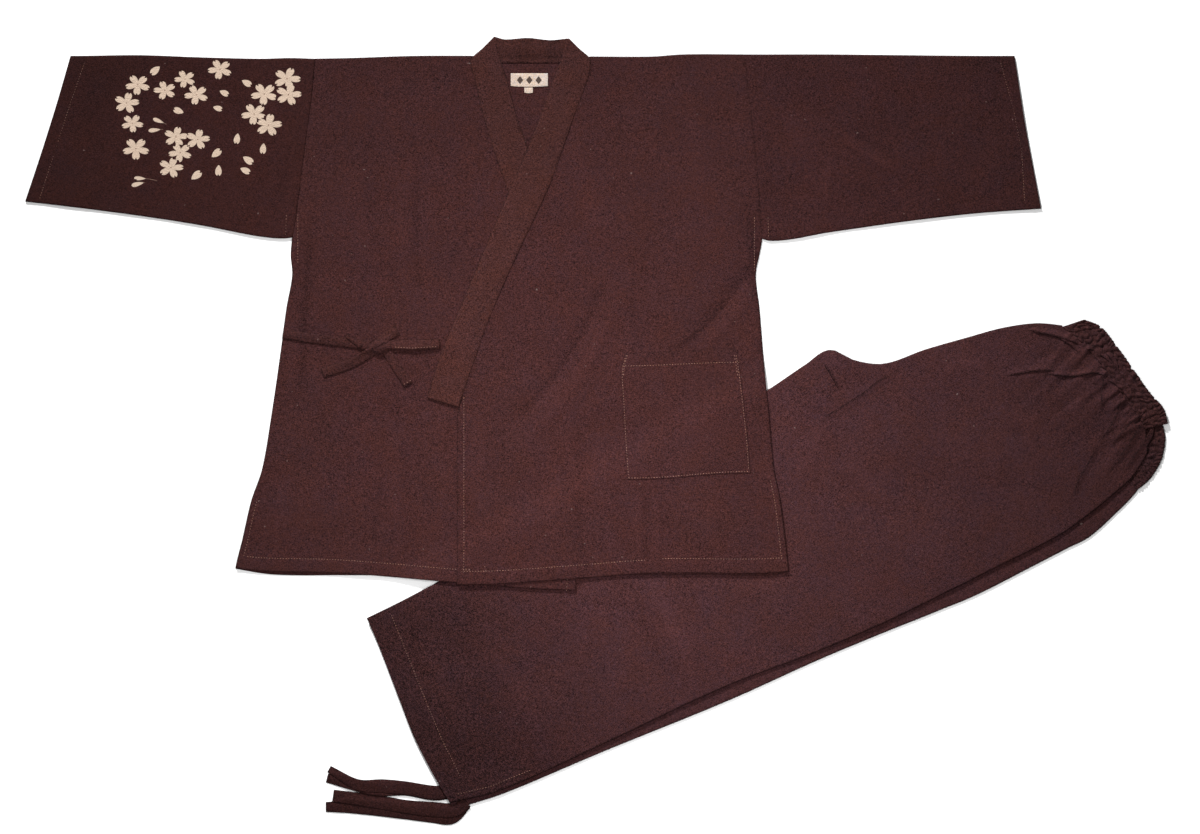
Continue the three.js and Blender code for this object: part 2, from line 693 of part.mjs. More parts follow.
// Solid from points and faces, turned round if the grid runs the other way
function closed(points, faces) {
  let volume = 0;
  const p = (i) => new THREE.Vector3(points[3 * i], points[3 * i + 1], points[3 * i + 2]);
  for (let i = 0; i < faces.length; i += 3) {
    volume += p(faces[i]).dot(p(faces[i + 1]).cross(p(faces[i + 2])));
  }
  const order = [];
  for (let i = 0; i < faces.length; i += 3) {
    order.push(faces[i], faces[i + (volume < 0 ? 2 : 1)], faces[i + (volume < 0 ? 1 : 2)]);
  }
  return new wasm.Manifold(new wasm.Mesh({
    numProp: 3,
    vertProperties: new Float32Array(points),
    triVerts: new Uint32Array(order),
  }));
}

// Solid from a geometry, for cutting
function solidOf(geometry) {
  geometry.deleteAttribute('normal');
  geometry.deleteAttribute('uv');
  const merged = mergeVertices(geometry, 1e-4);
  return closed([...merged.attributes.position.array], [...merged.index.array]);
}

// Upright prism over an outline, to cut a slab to the shape of its piece
function prism(outline) {
  const shape = new THREE.Shape(outline.map(([x, y]) => new THREE.Vector2(x, y)));
  const geometry = new THREE.ExtrudeGeometry(shape, { depth: CUTTER.high, bevelEnabled: false });
  return solidOf(geometry.translate(0, 0, CUTTER.from));
}

const clothPiece = (grid, outline, low, thick) => (
  slab(grid, outline, low, (x, y) => low(x, y) + thick).intersect(prism(outline))
);

// Heights of the layers, from the floor up
const overLegs = cover(upperLegOutline);
const overRightFront = cover(rightFrontOutline);
const overRightCollar = cover(rightCollarOutline);
const overJacket = cover(backOutline, FOLDS_CLEAR);

const jacketFolds = (layer) => (x, y) => JACKET_FOLDS.filter((fold) => fold.on === layer)
  .reduce((sum, fold) => {
    const [x0, y0] = inJacket(fold.x0, fold.down0);
    const [x1, y1] = inJacket(fold.x1, fold.down1);
    return sum + ridge(x, y, x0, y0, x1, y1, fold.high, fold.wide);
  }, 0);
const rightFolds = jacketFolds('right_front');
const leftFolds = jacketFolds('left_front');

const backLow = (x, y) => LEGS_HIGH * overLegs(x, y);
const rightLow = (x, y) => backLow(x, y) + WALL + SEAM_GAP + rightFolds(x, y);
const collarLow = (x, y) => backLow(x, y) + WALL + SEAM_GAP;
const leftBase = (x, y) => {
  const front = (WALL + SEAM_GAP + rightFolds(x, y)) * overRightFront(x, y);
  const collar = (COLLAR_WALL + SEAM_GAP) * overRightCollar(x, y);
  return collarLow(x, y) + Math.max(front, collar);
};
const leftLow = (x, y) => leftBase(x, y) + leftFolds(x, y);
const onLeftFront = (x, y) => leftLow(x, y) + WALL + SEAM_GAP;
const onRightFront = (x, y) => rightLow(x, y) + WALL + SEAM_GAP;

const legFolds = (x, y) => {
  const [along, out] = ownLegs([x, y]);
  const sum = LEG_FOLDS.reduce((total, fold) => (
    Math.max(total, ridge(along, out, fold.along0, fold.out0, fold.along1, fold.out1, fold.high, fold.wide))
  ), 0);
  return sum * (1 - overJacket(x, y));
};
const upperLegLow = (x, y) => LEG_WALL + SEAM_GAP + legFolds(x, y);

// A flattened sleeve: one wall on the floor, one above it, joined along both long edges
function sleeve(outline, hollow, layer) {
  const folds = jacketFolds(layer);
  const lift = (height) => (x, y) => height + folds(x, y);
  const top = 2 * WALL + SLEEVE_HOLLOW;
  const outer = slab(jacketGrid, outline, () => 0, lift(top)).intersect(prism(outline));
  const inner = slab(jacketGrid, hollow, () => WALL, lift(WALL + SLEEVE_HOLLOW)).intersect(prism(hollow));
  return outer.subtract(inner);
}

// A flattened leg with its ankle opening
function leg(outline, low) {
  const whole = clothPiece(legGrid, outline, low, LEG_WALL);
  const mouth = [
    inLegs(MOUTH.outside, MOUTH.side),
    inLegs(MOUTH.inside, MOUTH.side),
    inLegs(MOUTH.inside, MOUTH.rise),
    inLegs(MOUTH.outside, MOUTH.rise),
  ];
  const slot = (x, y) => low(x, y) + (LEG_WALL - LEG_HOLLOW) / 2;
  const gap = slab(legGrid, mouth, slot, (x, y) => slot(x, y) + LEG_HOLLOW).intersect(prism(mouth));
  return whole.subtract(gap);
}

// The shirred casing: a wavy band between the leg's seam and the scalloped outer edge
function waistband(rows, waves, base) {
  const steps = waves * 4;
  const across = 3;
  const keyed = rows.map((row, i) => ({ ...row, at: i / (rows.length - 1) }));
  const points = [];
  for (const up of [false, true]) {
    for (let i = 0; i <= steps; i += 1) {
      const t = i / steps;
      const wave = 0.5 + 0.5 * Math.sin(2 * Math.PI * waves * t);
      const seam = ['seamAlong', 'seamOut'].map((name) => column(keyed, 'at', name, t));
      const rim = ['edgeAlong', 'edgeOut'].map((name) => column(keyed, 'at', name, t));
      for (let j = 0; j < across; j += 1) {
        const s = j / (across - 1);
        const along = seam[0] + (rim[0] - seam[0]) * s + SHIRRING.edge * (s === 1 ? wave - 0.5 : 0);
        const out = seam[1] + (rim[1] - seam[1]) * s;
        const [x, y] = inLegs(along, out);
        const lift = base + SHIRRING.height * wave * (base > 0 ? 1 : up ? -0.9 : 0);
        points.push(x, y, lift + (up ? LEG_WALL : 0));
      }
    }
  }
  const layer = (steps + 1) * across;
  const at = (i, j, up) => i * across + j + (up ? layer : 0);
  const faces = [];
  const quad = (a, b, c, d) => faces.push(a, b, c, a, c, d);
  for (let i = 0; i < steps; i += 1) {
    for (let j = 0; j < across - 1; j += 1) {
      quad(at(i, j, 1), at(i + 1, j, 1), at(i + 1, j + 1, 1), at(i, j + 1, 1));
      quad(at(i, j), at(i, j + 1), at(i + 1, j + 1), at(i + 1, j));
    }
    quad(at(i, 0), at(i + 1, 0), at(i + 1, 0, 1), at(i, 0, 1));
    quad(at(i + 1, across - 1), at(i, across - 1), at(i, across - 1, 1), at(i + 1, across - 1, 1));
  }
  for (let j = 0; j < across - 1; j += 1) {
    quad(at(0, j + 1), at(0, j), at(0, j, 1), at(0, j + 1, 1));
    quad(at(steps, j), at(steps, j + 1), at(steps, j + 1, 1), at(steps, j, 1));
  }
  return closed(points, faces);
}

// The knot: a rounded lump of both ties, lying on the front
const knotSquare = [[-40, -40], [40, -40], [40, 40], [-40, 40]]
  .map(([x, down]) => inJacket(KNOT.x + x, KNOT.down - down));
function knotSolid() {
  const [x, y] = inJacket(KNOT.x, KNOT.down);
  const above = slab(jacketGrid, knotSquare, onRightFront, (px, py) => onRightFront(px, py) + 20);
  const lump = new THREE.SphereGeometry(1, 16, 9)
    .scale(KNOT.length / 2, KNOT.width / 2, KNOT.high)
    .translate(x, y, onRightFront(x, y) + KNOT.high * KNOT.centre);
  return solidOf(lump).intersect(above);
}
const knotRoom = solidOf(new THREE.CylinderGeometry(0.5, 0.5, CUTTER.high, 20)
  .rotateX(Math.PI / 2)
  .scale(KNOT.length + KNOT.room, KNOT.width + KNOT.room, 1)
  .translate(...inJacket(KNOT.x, KNOT.down), 0));

// A jacket tie lies on the right front, raised where it crosses the ties before it
const tieGrid = { ...jacketGrid, us: finer(jacketGrid.us), vs: finer(jacketGrid.vs) };
const onFrontLaid = laid(jacketGrid, onRightFront);
const tieOutline = (rows) => strip(rows, 'x', 'down', TIE_WIDTH, inJacket);
function jacketTie(index) {
  const below = JACKET_TIES.slice(0, index).map((tie) => (
    cover(tieOutline(tie.rows), TIE_COVER.reach, TIE_COVER.ramp)
  ));
  const low = (x, y) => below.reduce((z, over) => (
    z + (TIE_WALL + SEAM_GAP) * over(x, y)
  ), onFrontLaid(x, y));
  return clothPiece(tieGrid, tieOutline(JACKET_TIES[index].rows), low, TIE_WALL).subtract(knotRoom);
}

// Ankle ties lie on the floor beside the leg's corner, one on the other
const ankleGrid = {
  us: spread(ANKLE_FIELD.along0, ANKLE_FIELD.along1, ANKLE_FIELD.step),
  vs: spread(ANKLE_FIELD.out0, ANKLE_FIELD.out1, ANKLE_FIELD.step),
  place: inLegs,
  own: ownLegs,
};
const ankleOutline = (rows) => strip(rows, 'along', 'out', 0, inLegs);
const beside = (outline) => outline.map((p) => {
  const [along, out] = ownLegs(p);
  return inLegs(along - SIDE_SEAM, out - SIDE_SEAM);
});
const legRoom = prism(lowerLegOutline).add(prism(upperLegOutline))
  .add(prism(beside(lowerLegOutline))).add(prism(beside(upperLegOutline)));
function ankleTie(index) {
  const below = ANKLE_TIES.slice(0, index).map((tie) => (
    cover(ankleOutline(tie.rows), ANKLE_COVER.reach, ANKLE_COVER.ramp)
  ));
  const low = (x, y) => below.reduce((z, over) => z + (TIE_WALL + SEAM_GAP) * over(x, y), 0);
  return clothPiece(ankleGrid, ankleOutline(ANKLE_TIES[index].rows), low, TIE_WALL).subtract(legRoom);
}

const group = new THREE.Group();
group.name = 'samue';

function add(name, solid, color, roughness = 0.92) {
  const mesh = solid.getMesh();
  const geometry = new THREE.BufferGeometry();
  geometry.setAttribute('position', new THREE.BufferAttribute(mesh.vertProperties, 3));
  geometry.setIndex(new THREE.BufferAttribute(mesh.triVerts, 1));
  const shaded = geometry.toNonIndexed();
  shaded.computeVertexNormals();
  const cloth = new THREE.MeshStandardMaterial({ color, roughness, metalness: 0 });
  const piece = new THREE.Mesh(shaded, cloth);
  piece.name = name;
  group.add(piece);
}

// Jacket
add('back', clothPiece(jacketGrid, backOutline, backLow, WALL), CLOTH_DARK);
add('front_right', clothPiece(jacketGrid, rightFrontOutline, rightLow, WALL), CLOTH_DARK);
add('front_left', clothPiece(jacketGrid, leftFrontOutline, leftLow, WALL), CLOTH_DARK);
add('sleeve_right', sleeve(rightSleeveOutline, rightSleeveHollow, 'right_sleeve'), CLOTH_SLEEVE);
add('sleeve_left', sleeve(leftSleeveOutline, leftSleeveHollow, 'left_sleeve'), CLOTH_SLEEVE);
add('collar',
  clothPiece(jacketGrid, rightCollarOutline, collarLow, COLLAR_WALL)
    .add(clothPiece(jacketGrid, neckOutline, collarLow, COLLAR_WALL))
    .add(clothPiece(jacketGrid, leftCollarOutline, leftBase, COLLAR_WALL)),
  CLOTH_COLLAR);
add('pocket', clothPiece(jacketGrid, pocketOutline, onLeftFront, WALL), CLOTH_DARK);
add('label', clothPiece(jacketGrid, patch(LABEL), collarLow, LABEL.wall), LABEL_CREAM, 0.7);
add('label_tab', clothPiece(jacketGrid, patch(LABEL_TAB), collarLow, LABEL.wall), LABEL_CREAM, 0.7);
add('tie_knot', knotSolid(), CLOTH_DARK);
JACKET_TIES.forEach((tie, index) => add(tie.name, jacketTie(index), CLOTH_DARK));

// Trousers
add('leg_lower', leg(lowerLegOutline, () => 0), CLOTH_LEG);
add('leg_upper', leg(upperLegOutline, upperLegLow), CLOTH_LEG);
add('waistband_lower', waistband(LOWER_WAIST_ROWS, SHIRRING.lowerWaves, 0), CLOTH_WAIST);
const upperBand = LEG_WALL + SEAM_GAP + SHIRRING.lift;
add('waistband_upper', waistband(UPPER_WAIST_ROWS, SHIRRING.waves, upperBand), CLOTH_WAIST);
ANKLE_TIES.forEach((tie, index) => add(tie.name, ankleTie(index), CLOTH_LEG));

// Centre the part on its own box, so that it stands on the middle of its underside
const box = new THREE.Box3().setFromObject(group);
for (const piece of group.children) {
  piece.geometry.translate(-(box.min.x + box.max.x) / 2, -(box.min.y + box.max.y) / 2, -box.min.z);
}

export default group;
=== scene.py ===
"""Samue laid flat: a wrap-over work jacket with ties, lying on its folded trousers. Metres."""
import math

import bmesh
import bpy
import numpy as np
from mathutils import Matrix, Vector


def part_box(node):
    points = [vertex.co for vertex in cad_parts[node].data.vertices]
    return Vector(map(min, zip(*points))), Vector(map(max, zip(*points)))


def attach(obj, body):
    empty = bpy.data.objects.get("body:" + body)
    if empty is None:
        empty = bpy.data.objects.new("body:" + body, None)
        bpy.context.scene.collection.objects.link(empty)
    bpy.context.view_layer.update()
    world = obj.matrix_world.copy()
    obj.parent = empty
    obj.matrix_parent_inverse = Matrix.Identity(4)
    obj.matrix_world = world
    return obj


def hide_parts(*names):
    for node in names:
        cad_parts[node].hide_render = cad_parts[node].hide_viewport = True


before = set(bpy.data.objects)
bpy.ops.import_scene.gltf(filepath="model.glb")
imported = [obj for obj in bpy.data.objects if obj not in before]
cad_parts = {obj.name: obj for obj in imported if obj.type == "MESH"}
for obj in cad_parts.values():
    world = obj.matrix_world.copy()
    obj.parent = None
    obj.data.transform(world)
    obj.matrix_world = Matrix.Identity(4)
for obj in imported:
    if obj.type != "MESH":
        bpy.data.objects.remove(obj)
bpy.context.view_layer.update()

MM = 0.001
PHOTO_MM = 1.4
PHOTO_SIZE = (1200, 834)
GRID_STEP = 3.2
FINE = (0.0, 0.45, 1.1, 2.4)
ROLL = (0.42, 0.2, 0.06, 0.0)
STRIP_STEP = 2.2
# A plan grid is laid out again this many times, as each of its edges depends on the others
ROUNDS = 6
FULL_TURN = 6.283

# Cloth, as in the solids
WALL = 1.2
GAP = 0.3
COLLAR_WALL = 2.4
LEG_WALL = 2.4
TIE_WALL = 1.4
LEGS_HIGH = 2 * (LEG_WALL + GAP)
PLY = 0.7
TUBE_GAP = 0.02
SEAM_LAP = 1.0
SLEEVE_HIGH = 3.0


def table(names, *rows):
    """Short table: a row for each section, a named column for each size."""
    return dict(zip(names.split(), np.array(rows, float).T))


# Jacket body: the two side seams, counted down from the shoulder
BODY = table(
    "down right left",
    (-4, -301, 300), (60, -307, 308), (143, -318, 317), (222, -328, 323), (252, -333, 325),
    (276, -335, 321), (304, -333, 316), (350, -341, 321), (410, -349, 326), (500, -362, 334),
    (575, -375, 341), (619, -390, 350), (675, -403, 357), (712, -412, 361), (760, -418, 366),
)
SHOULDER = table(
    "x down",
    (-302, 1), (-250, 0), (-150, -3), (86, -2), (170, -2), (215, -5), (301, -5),
)
RIGHT_HEM = table(
    "x down",
    (-418, 713), (-377, 718), (-266, 721), (-104, 734), (14, 743), (70, 745),
)
LEFT_HEM = table(
    "x down",
    (-104, 737), (-46, 736), (70, 728), (168, 721), (322, 721), (370, 718),
)
BACK_HEM = table(
    "x down",
    (-418, 714), (-360, 723), (-266, 724), (-80, 724), (250, 723), (333, 724), (370, 717),
)
RIGHT_COLLAR = table(
    "down inner seam",
    (-30, -47, -50), (-14, -44, -66), (3, -41, -83), (31, -32, -77), (80, -19, -66),
    (126, -3, -52), (188, 17, -31), (300, 52, 4), (478, 107, 61),
)
LEFT_COLLAR = table(
    "down inner seam",
    (-28, 51, 54), (-14, 47, 68), (3, 43, 85), (31, 32, 81), (80, 15, 63), (126, -3, 47),
    (188, -30, 24), (283, -70, -21), (367, -105, -57), (412, -124, -73), (476, -144, -95),
)
NECK_TOP = table("x down", (-47, -29), (-35, -26), (-3, -28), (28, -25), (51, -27))
NECK_FOOT = 7
NECK_START = -51
NECK_LONG = 104
# Where each side of the collar starts at the neck, and where its inner edge ends
RIGHT_COLLAR_START, RIGHT_COLLAR_TIP = -29, 478
LEFT_COLLAR_START, LEFT_COLLAR_TIP = -27, 476
COLLAR_SEAM_TOP = 3
COLLAR_SEAM_FOOT = 478
COLLAR_END = 490
# The free edges below the collar: where each starts, and where it runs down to the hem
UNDERLAP_TOP, UNDERLAP_EDGE = 61, 64
OVERLAP_TOP, OVERLAP_EDGE = -95.3, -102

RIGHT_SLEEVE = table(
    "x top foot",
    (-302, 1, 240), (-337, 0, 252), (-378, 1, 250), (-462, -1, 234), (-546, -4, 221),
    (-630, -3, 210), (-707, -3, 201),
)
LEFT_SLEEVE = table(
    "x top foot",
    (301, -5, 240), (336, -5, 256), (420, -5, 244), (518, -4, 230), (620, -3, 218), (716, -3, 211),
)
RIGHT_CUFF = table("down x", (-3, -643), (66, -663), (136, -685), (202, -707))
LEFT_CUFF = table("down x", (-3, 678), (87, 692), (152, 704), (210, 715))
# Where the armholes and the openings below them end, where the side slits start, and how wide the
# turned-in hems are
UNDERARM = 222
SLIT_FOOT = 252
RIGHT_SLIT_TOP = 612
LEFT_SLIT_TOP = 588
JACKET_HEM = 21
SLIT_HEM = 7
FRONT_EDGE_HEM = 11
CUFF_HEM = 19
POCKET_HEM = 17
LEG_HEM = 34
LEG_TOP = 1096
WAIST_SEAM_LONG = 190

POCKET = table(
    "down near far",
    (413, 133, 290), (437, 127, 294), (479, 129, 299), (535, 132, 305), (590, 136, 309),
)
LABEL_AT = (-1, 31)
LABEL_SIZE = (52, 19)
TAB_AT = (-2, 45.5)
TAB_SIZE = (12, 8)

# Trousers, counted up from the ankle hem
UPPER_LEG = table(
    "along inside side",
    (-12, 146, -137), (60, 147, -152), (210, 155, -155), (400, 170, -156), (540, 183, -167),
    (640, 193, -171), (700, 202, -171), (741, 206, -170), (765, 178, -170), (800, 156, -169),
    (860, 149, -168), (920, 139, -166), (970, 130, -157), (1015, 116, -146), (1045, 99, -137),
    (1070, 80, -122), (1100, 50, -98),
)
LOWER_LEG = table(
    "along inside side",
    (-12, 140, -148), (60, 143, -158), (210, 152, -165), (400, 166, -176), (540, 179, -179),
    (640, 189, -184), (700, 196, -188), (735, 199, -190), (765, 171, -192), (800, 150, -192),
    (860, 144, -190), (920, 134, -188), (955, 127, -187), (1000, 113, -174), (1045, 92, -157),
    (1100, 50, -124),
)
ANKLE_HEM = table(
    "out along",
    (-170, -8), (-111, -15), (-34, -18), (22, -14), (116, -7), (160, -6),
)
UPPER_WAIST = table(
    "at seam_along seam_out edge_along edge_out",
    (0, 1047, 95, 1080, 91), (1, 1060, 68, 1097, 71), (2, 1069, 40, 1105, 39),
    (3, 1076, 5, 1112, 0), (4, 1082, -30, 1119, -41), (5, 1087, -58, 1127, -69),
    (6, 1090, -84, 1123, -91),
)
LOWER_WAIST = table(
    "at seam_along seam_out edge_along edge_out",
    (0, 1045, 86, 1066, 86), (1, 1065, 30, 1099, 30), (2, 1078, -40, 1110, -45),
    (3, 1078, -80, 1115, -95), (4, 1063, -108, 1098, -128), (5, 1052, -118, 1070, -149),
    (6, 1040, -127, 1043, -157),
)
# Side corner of each leg, just past the end of its waist seam
UPPER_CORNER = (1078, -117)
LOWER_CORNER = (1043, -159)


# Places and soft curves

def column(rows, key, name, at):
    """Value of a column at a place along the key, on a soft curve through the rows."""
    k, v, at = rows[key], rows[name], np.asarray(at, float)
    if k[-1] < k[0]:
        k, v = k[::-1], v[::-1]
    i = np.clip(np.searchsorted(k, at), 1, len(k) - 1)
    before, after = np.maximum(i - 2, 0), np.minimum(i + 1, len(k) - 1)
    span = k[i] - k[i - 1]
    t = (at - k[i - 1]) / span
    low, high = v[i - 1], v[i]
    slope_low = (high - v[before]) / (k[i] - k[before]) * span
    slope_high = (v[after] - low) / (k[after] - k[i - 1]) * span
    t2, t3 = t * t, t * t * t
    soft = ((2 * t3 - 3 * t2 + 1) * low + (t3 - 2 * t2 + t) * slope_low
            + (3 * t2 - 2 * t3) * high + (t3 - t2) * slope_high)
    return np.where((t <= 0) | (t >= 1), low + (high - low) * t, soft)


def smooth(t):
    t = np.clip(t, 0, 1)
    return t * t * (3 - 2 * t)


JACKET_AT = np.array([-93.0, 520.0])
LEGS_AT = np.array([-253.0, -393.0])
LEG_TURN = math.radians(25.5)
LEG_COS, LEG_SIN = math.cos(LEG_TURN), math.sin(LEG_TURN)

# The solids are centred on their own box; the label tells by how much
_label = sum(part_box("label"), Vector()) / 2 / MM
SHIFT = np.array([_label.x - JACKET_AT[0] - LABEL_AT[0], _label.y - JACKET_AT[1] + LABEL_AT[1]])


def in_jacket(x, down):
    return JACKET_AT[0] + SHIFT[0] + np.asarray(x, float), JACKET_AT[1] + SHIFT[1] - np.asarray(down, float)


def own_jacket(x, y):
    return x - JACKET_AT[0] - SHIFT[0], JACKET_AT[1] + SHIFT[1] - y


def in_legs(along, out):
    along, out = np.asarray(along, float), np.asarray(out, float)
    return (LEGS_AT[0] + SHIFT[0] + along * LEG_COS - out * LEG_SIN,
            LEGS_AT[1] + SHIFT[1] + along * LEG_SIN + out * LEG_COS)


def own_legs(x, y):
    dx, dy = x - LEGS_AT[0] - SHIFT[0], y - LEGS_AT[1] - SHIFT[1]
    return dx * LEG_COS + dy * LEG_SIN, dy * LEG_COS - dx * LEG_SIN


def outline(*edges):
    """Closed outline from edges, each a pair of arrays in the part's frame."""
    return np.concatenate([np.stack(np.broadcast_arrays(*e), -1).reshape(-1, 2) for e in edges])


def reach(ring, x, y):
    """Distance to an outline, negative inside it."""
    near = np.full(x.shape, 1e9)
    inside = np.zeros(x.shape, bool)
    for (ax, ay), (bx, by) in zip(np.roll(ring, 1, 0), ring):
        dx, dy = bx - ax, by - ay
        t = np.clip(((x - ax) * dx + (y - ay) * dy) / (dx * dx + dy * dy + 1e-12), 0, 1)
        near = np.minimum(near, np.hypot(x - ax - t * dx, y - ay - t * dy))
        if ay != by:
            inside ^= ((ay > y) != (by > y)) & (x < (bx - ax) * (y - ay) / (by - ay) + ax)
    return np.where(inside, -near, near)


def cover(ring, out, ramp):
    """1 over an outline and a little beyond it, falling softly to 0."""
    return lambda x, y: smooth(1 - (reach(ring, x, y) - out) / ramp)


def stepped(start, end, step):
    return np.linspace(start, end, max(2, int(abs(end - start) / step) + 1))


def down_line(rows, name, start, end):
    d = stepped(start, end, 12)
    return in_jacket(column(rows, "down", name, d), d)


def hem_line(rows, start, end):
    x = stepped(start, end, 16)
    return in_jacket(x, column(rows, "x", "down", x))


BACK_RING = outline(
    in_jacket([-301, 300], [0, -4]), down_line(BODY, "left", 0, 713), hem_line(BACK_HEM, 360, -411),
    down_line(BODY, "right", 710, 0))
RIGHT_RING = outline(
    in_jacket([-301, -84], [-1, -1]), down_line(RIGHT_COLLAR, "seam", COLLAR_SEAM_TOP, COLLAR_SEAM_FOOT),
    in_jacket([UNDERLAP_EDGE, UNDERLAP_EDGE], [496, 620]), hem_line(RIGHT_HEM, UNDERLAP_EDGE, -411),
    down_line(BODY, "right", 710, 0))
RIGHT_COLLAR_RING = outline(
    down_line(RIGHT_COLLAR, "inner", RIGHT_COLLAR_START, RIGHT_COLLAR_TIP),
    down_line(RIGHT_COLLAR, "seam", COLLAR_END, RIGHT_COLLAR_START))
LEG_DS = np.linspace(-8, 1078, 70)
UPPER_LEG_RING = outline(
    in_legs(LEG_DS, column(UPPER_LEG, "along", "inside", LEG_DS)),
    in_legs(UPPER_WAIST["edge_along"], UPPER_WAIST["edge_out"]),
    in_legs(LEG_DS[::-1], column(UPPER_LEG, "along", "side", LEG_DS[::-1])))


# Creases: soft troughs, ridges and folds, each on a bowed line between two places

def bowed(start, end, bow):
    """Points of a line that bows to one side by so many millimetres."""
    p, q = np.array(start, float), np.array(end, float)
    side = np.array([-(q - p)[1], (q - p)[0]]) / (np.hypot(*(q - p)) + 1e-9)
    t = np.linspace(0, 1, 14)[:, None]
    return p + (q - p) * t + side * (4 * bow * t * (1 - t))


def along_line(path, x, y):
    """Distance off a line of points, which side of it, and how far along it from 0 to 1."""
    best = np.full(x.shape, 1e9)
    side = np.zeros(x.shape)
    place = np.zeros(x.shape)
    count = len(path) - 1
    for n in range(count):
        (ax, ay), (bx, by) = path[n], path[n + 1]
        dx, dy = bx - ax, by - ay
        raw = ((x - ax) * dx + (y - ay) * dy) / (dx * dx + dy * dy + 1e-12)
        t = np.clip(raw, 0, 1)
        d = np.hypot(x - ax - t * dx, y - ay - t * dy)
        closer = d < best
        best = np.where(closer, d, best)
        side = np.where(closer, np.sign(dx * (y - ay) - dy * (x - ax)), side)
        place = np.where(closer, (n + t) / count, place)
    return best, side, place


def crease_height(kind, off, side, wide):
    """Ridge and trough are even; a fold is steep on one side and eases away on the other."""
    if kind == "ridge":
        return np.exp(-(off / wide) ** 2)
    if kind == "trough":
        return -np.exp(-(off / wide) ** 2)
    steep = np.exp(-off / (0.16 * wide + 0.8))
    gentle = np.exp(-off / wide)
    dip = -0.35 * np.exp(-((off - 0.3 * wide) / (0.3 * wide)) ** 2)
    return np.where(side > 0, gentle, steep + dip)


def creased(creases, own, x, y):
    """Summed height of a table of creases, and painted shading at each place: dark along troughs and folds,
    light along ridges.
    """
    u, v = own(x, y)
    high = np.zeros(x.shape)
    tone = np.zeros(x.shape)
    for kind, u0, v0, u1, v1, bow, tall, wide in creases:
        path = bowed((u0, v0), (u1, v1), bow)
        room = 5 * wide
        (lo_u, lo_v), (hi_u, hi_v) = path.min(0) - room, path.max(0) + room
        near = (u > lo_u) & (u < hi_u) & (v > lo_v) & (v < hi_v)
        if near.any():
            off, side, place = along_line(path, u[near], v[near])
            taper = smooth(place / 0.3 + 0.05) * smooth((1 - place) / 0.3 + 0.05) * np.exp(-off / (5 * wide))
            shape = crease_height(kind, off, side, wide) * taper
            high[near] += tall * shape
            # painted shade along troughs and folds, painted highlight along ridges
            line = 0.7 * np.exp(-(off / (0.45 * wide + 0.8)) ** 2) * taper
            tone[near] += min(tall / 2.2, 1.0) * (line if kind == "ridge" else -line)
    return high, tone


def swell(x, y, seed, size, tall):
    """Slow unevenness of cloth that has been smoothed out by hand."""
    rng = np.random.default_rng(seed)
    total = np.zeros(x.shape)
    for _ in range(7):
        turn, length, start = rng.uniform(0, math.pi), size * rng.uniform(0.6, 1.7), rng.uniform(0, 6.3)
        total += np.sin((x * math.cos(turn) + y * math.sin(turn)) * FULL_TURN / length + start)
    return tall * total / 7 ** 0.5


# Creases of the jacket (x, down) and of the trousers (along, out): kind, from, to, bow, height, width
RIGHT_FRONT_CREASES = (
    ("ridge", -325, 350, -332, 500, 4, 0.9, 10), ("trough", -302, 205, -318, 500, 5, 2.1, 11),
    ("ridge", -168, 150, -176, 345, 8, 0.7, 14), ("trough", -157, 140, -154, 340, 3, 1.5, 5),
    ("ridge", -189, 505, -180, 680, 6, 0.8, 14), ("ridge", -255, 150, -240, 300, -10, 0.6, 18),
    ("trough", -183, 436, -184, 540, 2, 1.2, 5), ("trough", -203, 575, -220, 700, 4, 1.1, 9),
    ("trough", -345, 430, -250, 560, 14, 0.6, 20), ("ridge", -110, 560, -125, 700, 3, 0.7, 10),
    ("ridge", -330, 560, -355, 690, 6, 0.7, 12), ("fold", -371, 619, -335, 622, 2, 1.2, 5),
)
LEFT_FRONT_CREASES = (
    ("ridge", 322, 290, 226, 412, -14, 1.4, 13), ("trough", 321, 262, 206, 396, -12, 2.3, 9),
    ("fold", 282, 328, 196, 408, -8, 2.6, 7),
    ("ridge", 128, 318, -30, 555, -20, 1.4, 16), ("trough", 110, 298, -56, 535, -20, 2.3, 9),
    ("trough", 146, 262, 146, 425, 2, 1.1, 4), ("trough", 325, 315, 329, 480, 2, 1.2, 9),
    ("trough", 308, 200, 320, 350, 2, 2.4, 15),
    ("ridge", 154, 600, 156, 716, 3, 1.3, 7), ("ridge", 176, 600, 174, 716, -3, 1.1, 7),
    ("trough", 165, 596, 165, 718, 0, 1.0, 5), ("fold", 168, 640, 224, 642, 2, 0.9, 6),
    ("ridge", 60, 90, 110, 260, 10, 0.8, 22), ("ridge", 220, 60, 235, 230, -8, 0.7, 22),
    ("ridge", -70, 470, -60, 690, 6, 0.8, 16), ("ridge", 40, 560, 30, 700, 4, 0.7, 14),
    ("ridge", 333, 480, 345, 640, 4, 0.8, 12),
    ("fold", 340, 594, 318, 590, 2, 1.0, 5), ("ridge", 250, 610, 262, 700, 4, 0.7, 12),
)
RIGHT_SLEEVE_CREASES = (
    ("ridge", -340, 40, -395, 200, 14, 0.8, 16), ("ridge", -440, 30, -470, 200, 8, 0.5, 20),
    ("trough", -330, 150, -352, 236, 5, 0.8, 9), ("ridge", -560, 50, -590, 190, 6, 0.6, 18),
)
LEFT_SLEEVE_CREASES = (
    ("ridge", 427, 101, 520, 158, 6, 1.6, 9), ("trough", 440, 92, 512, 138, 5, 0.9, 8),
    ("ridge", 420, 150, 416, 214, 4, 1.2, 9), ("ridge", 345, 60, 395, 200, -12, 0.7, 18),
    ("ridge", 560, 40, 590, 180, 6, 0.6, 18), ("trough", 336, 160, 356, 240, 5, 0.8, 9),
)
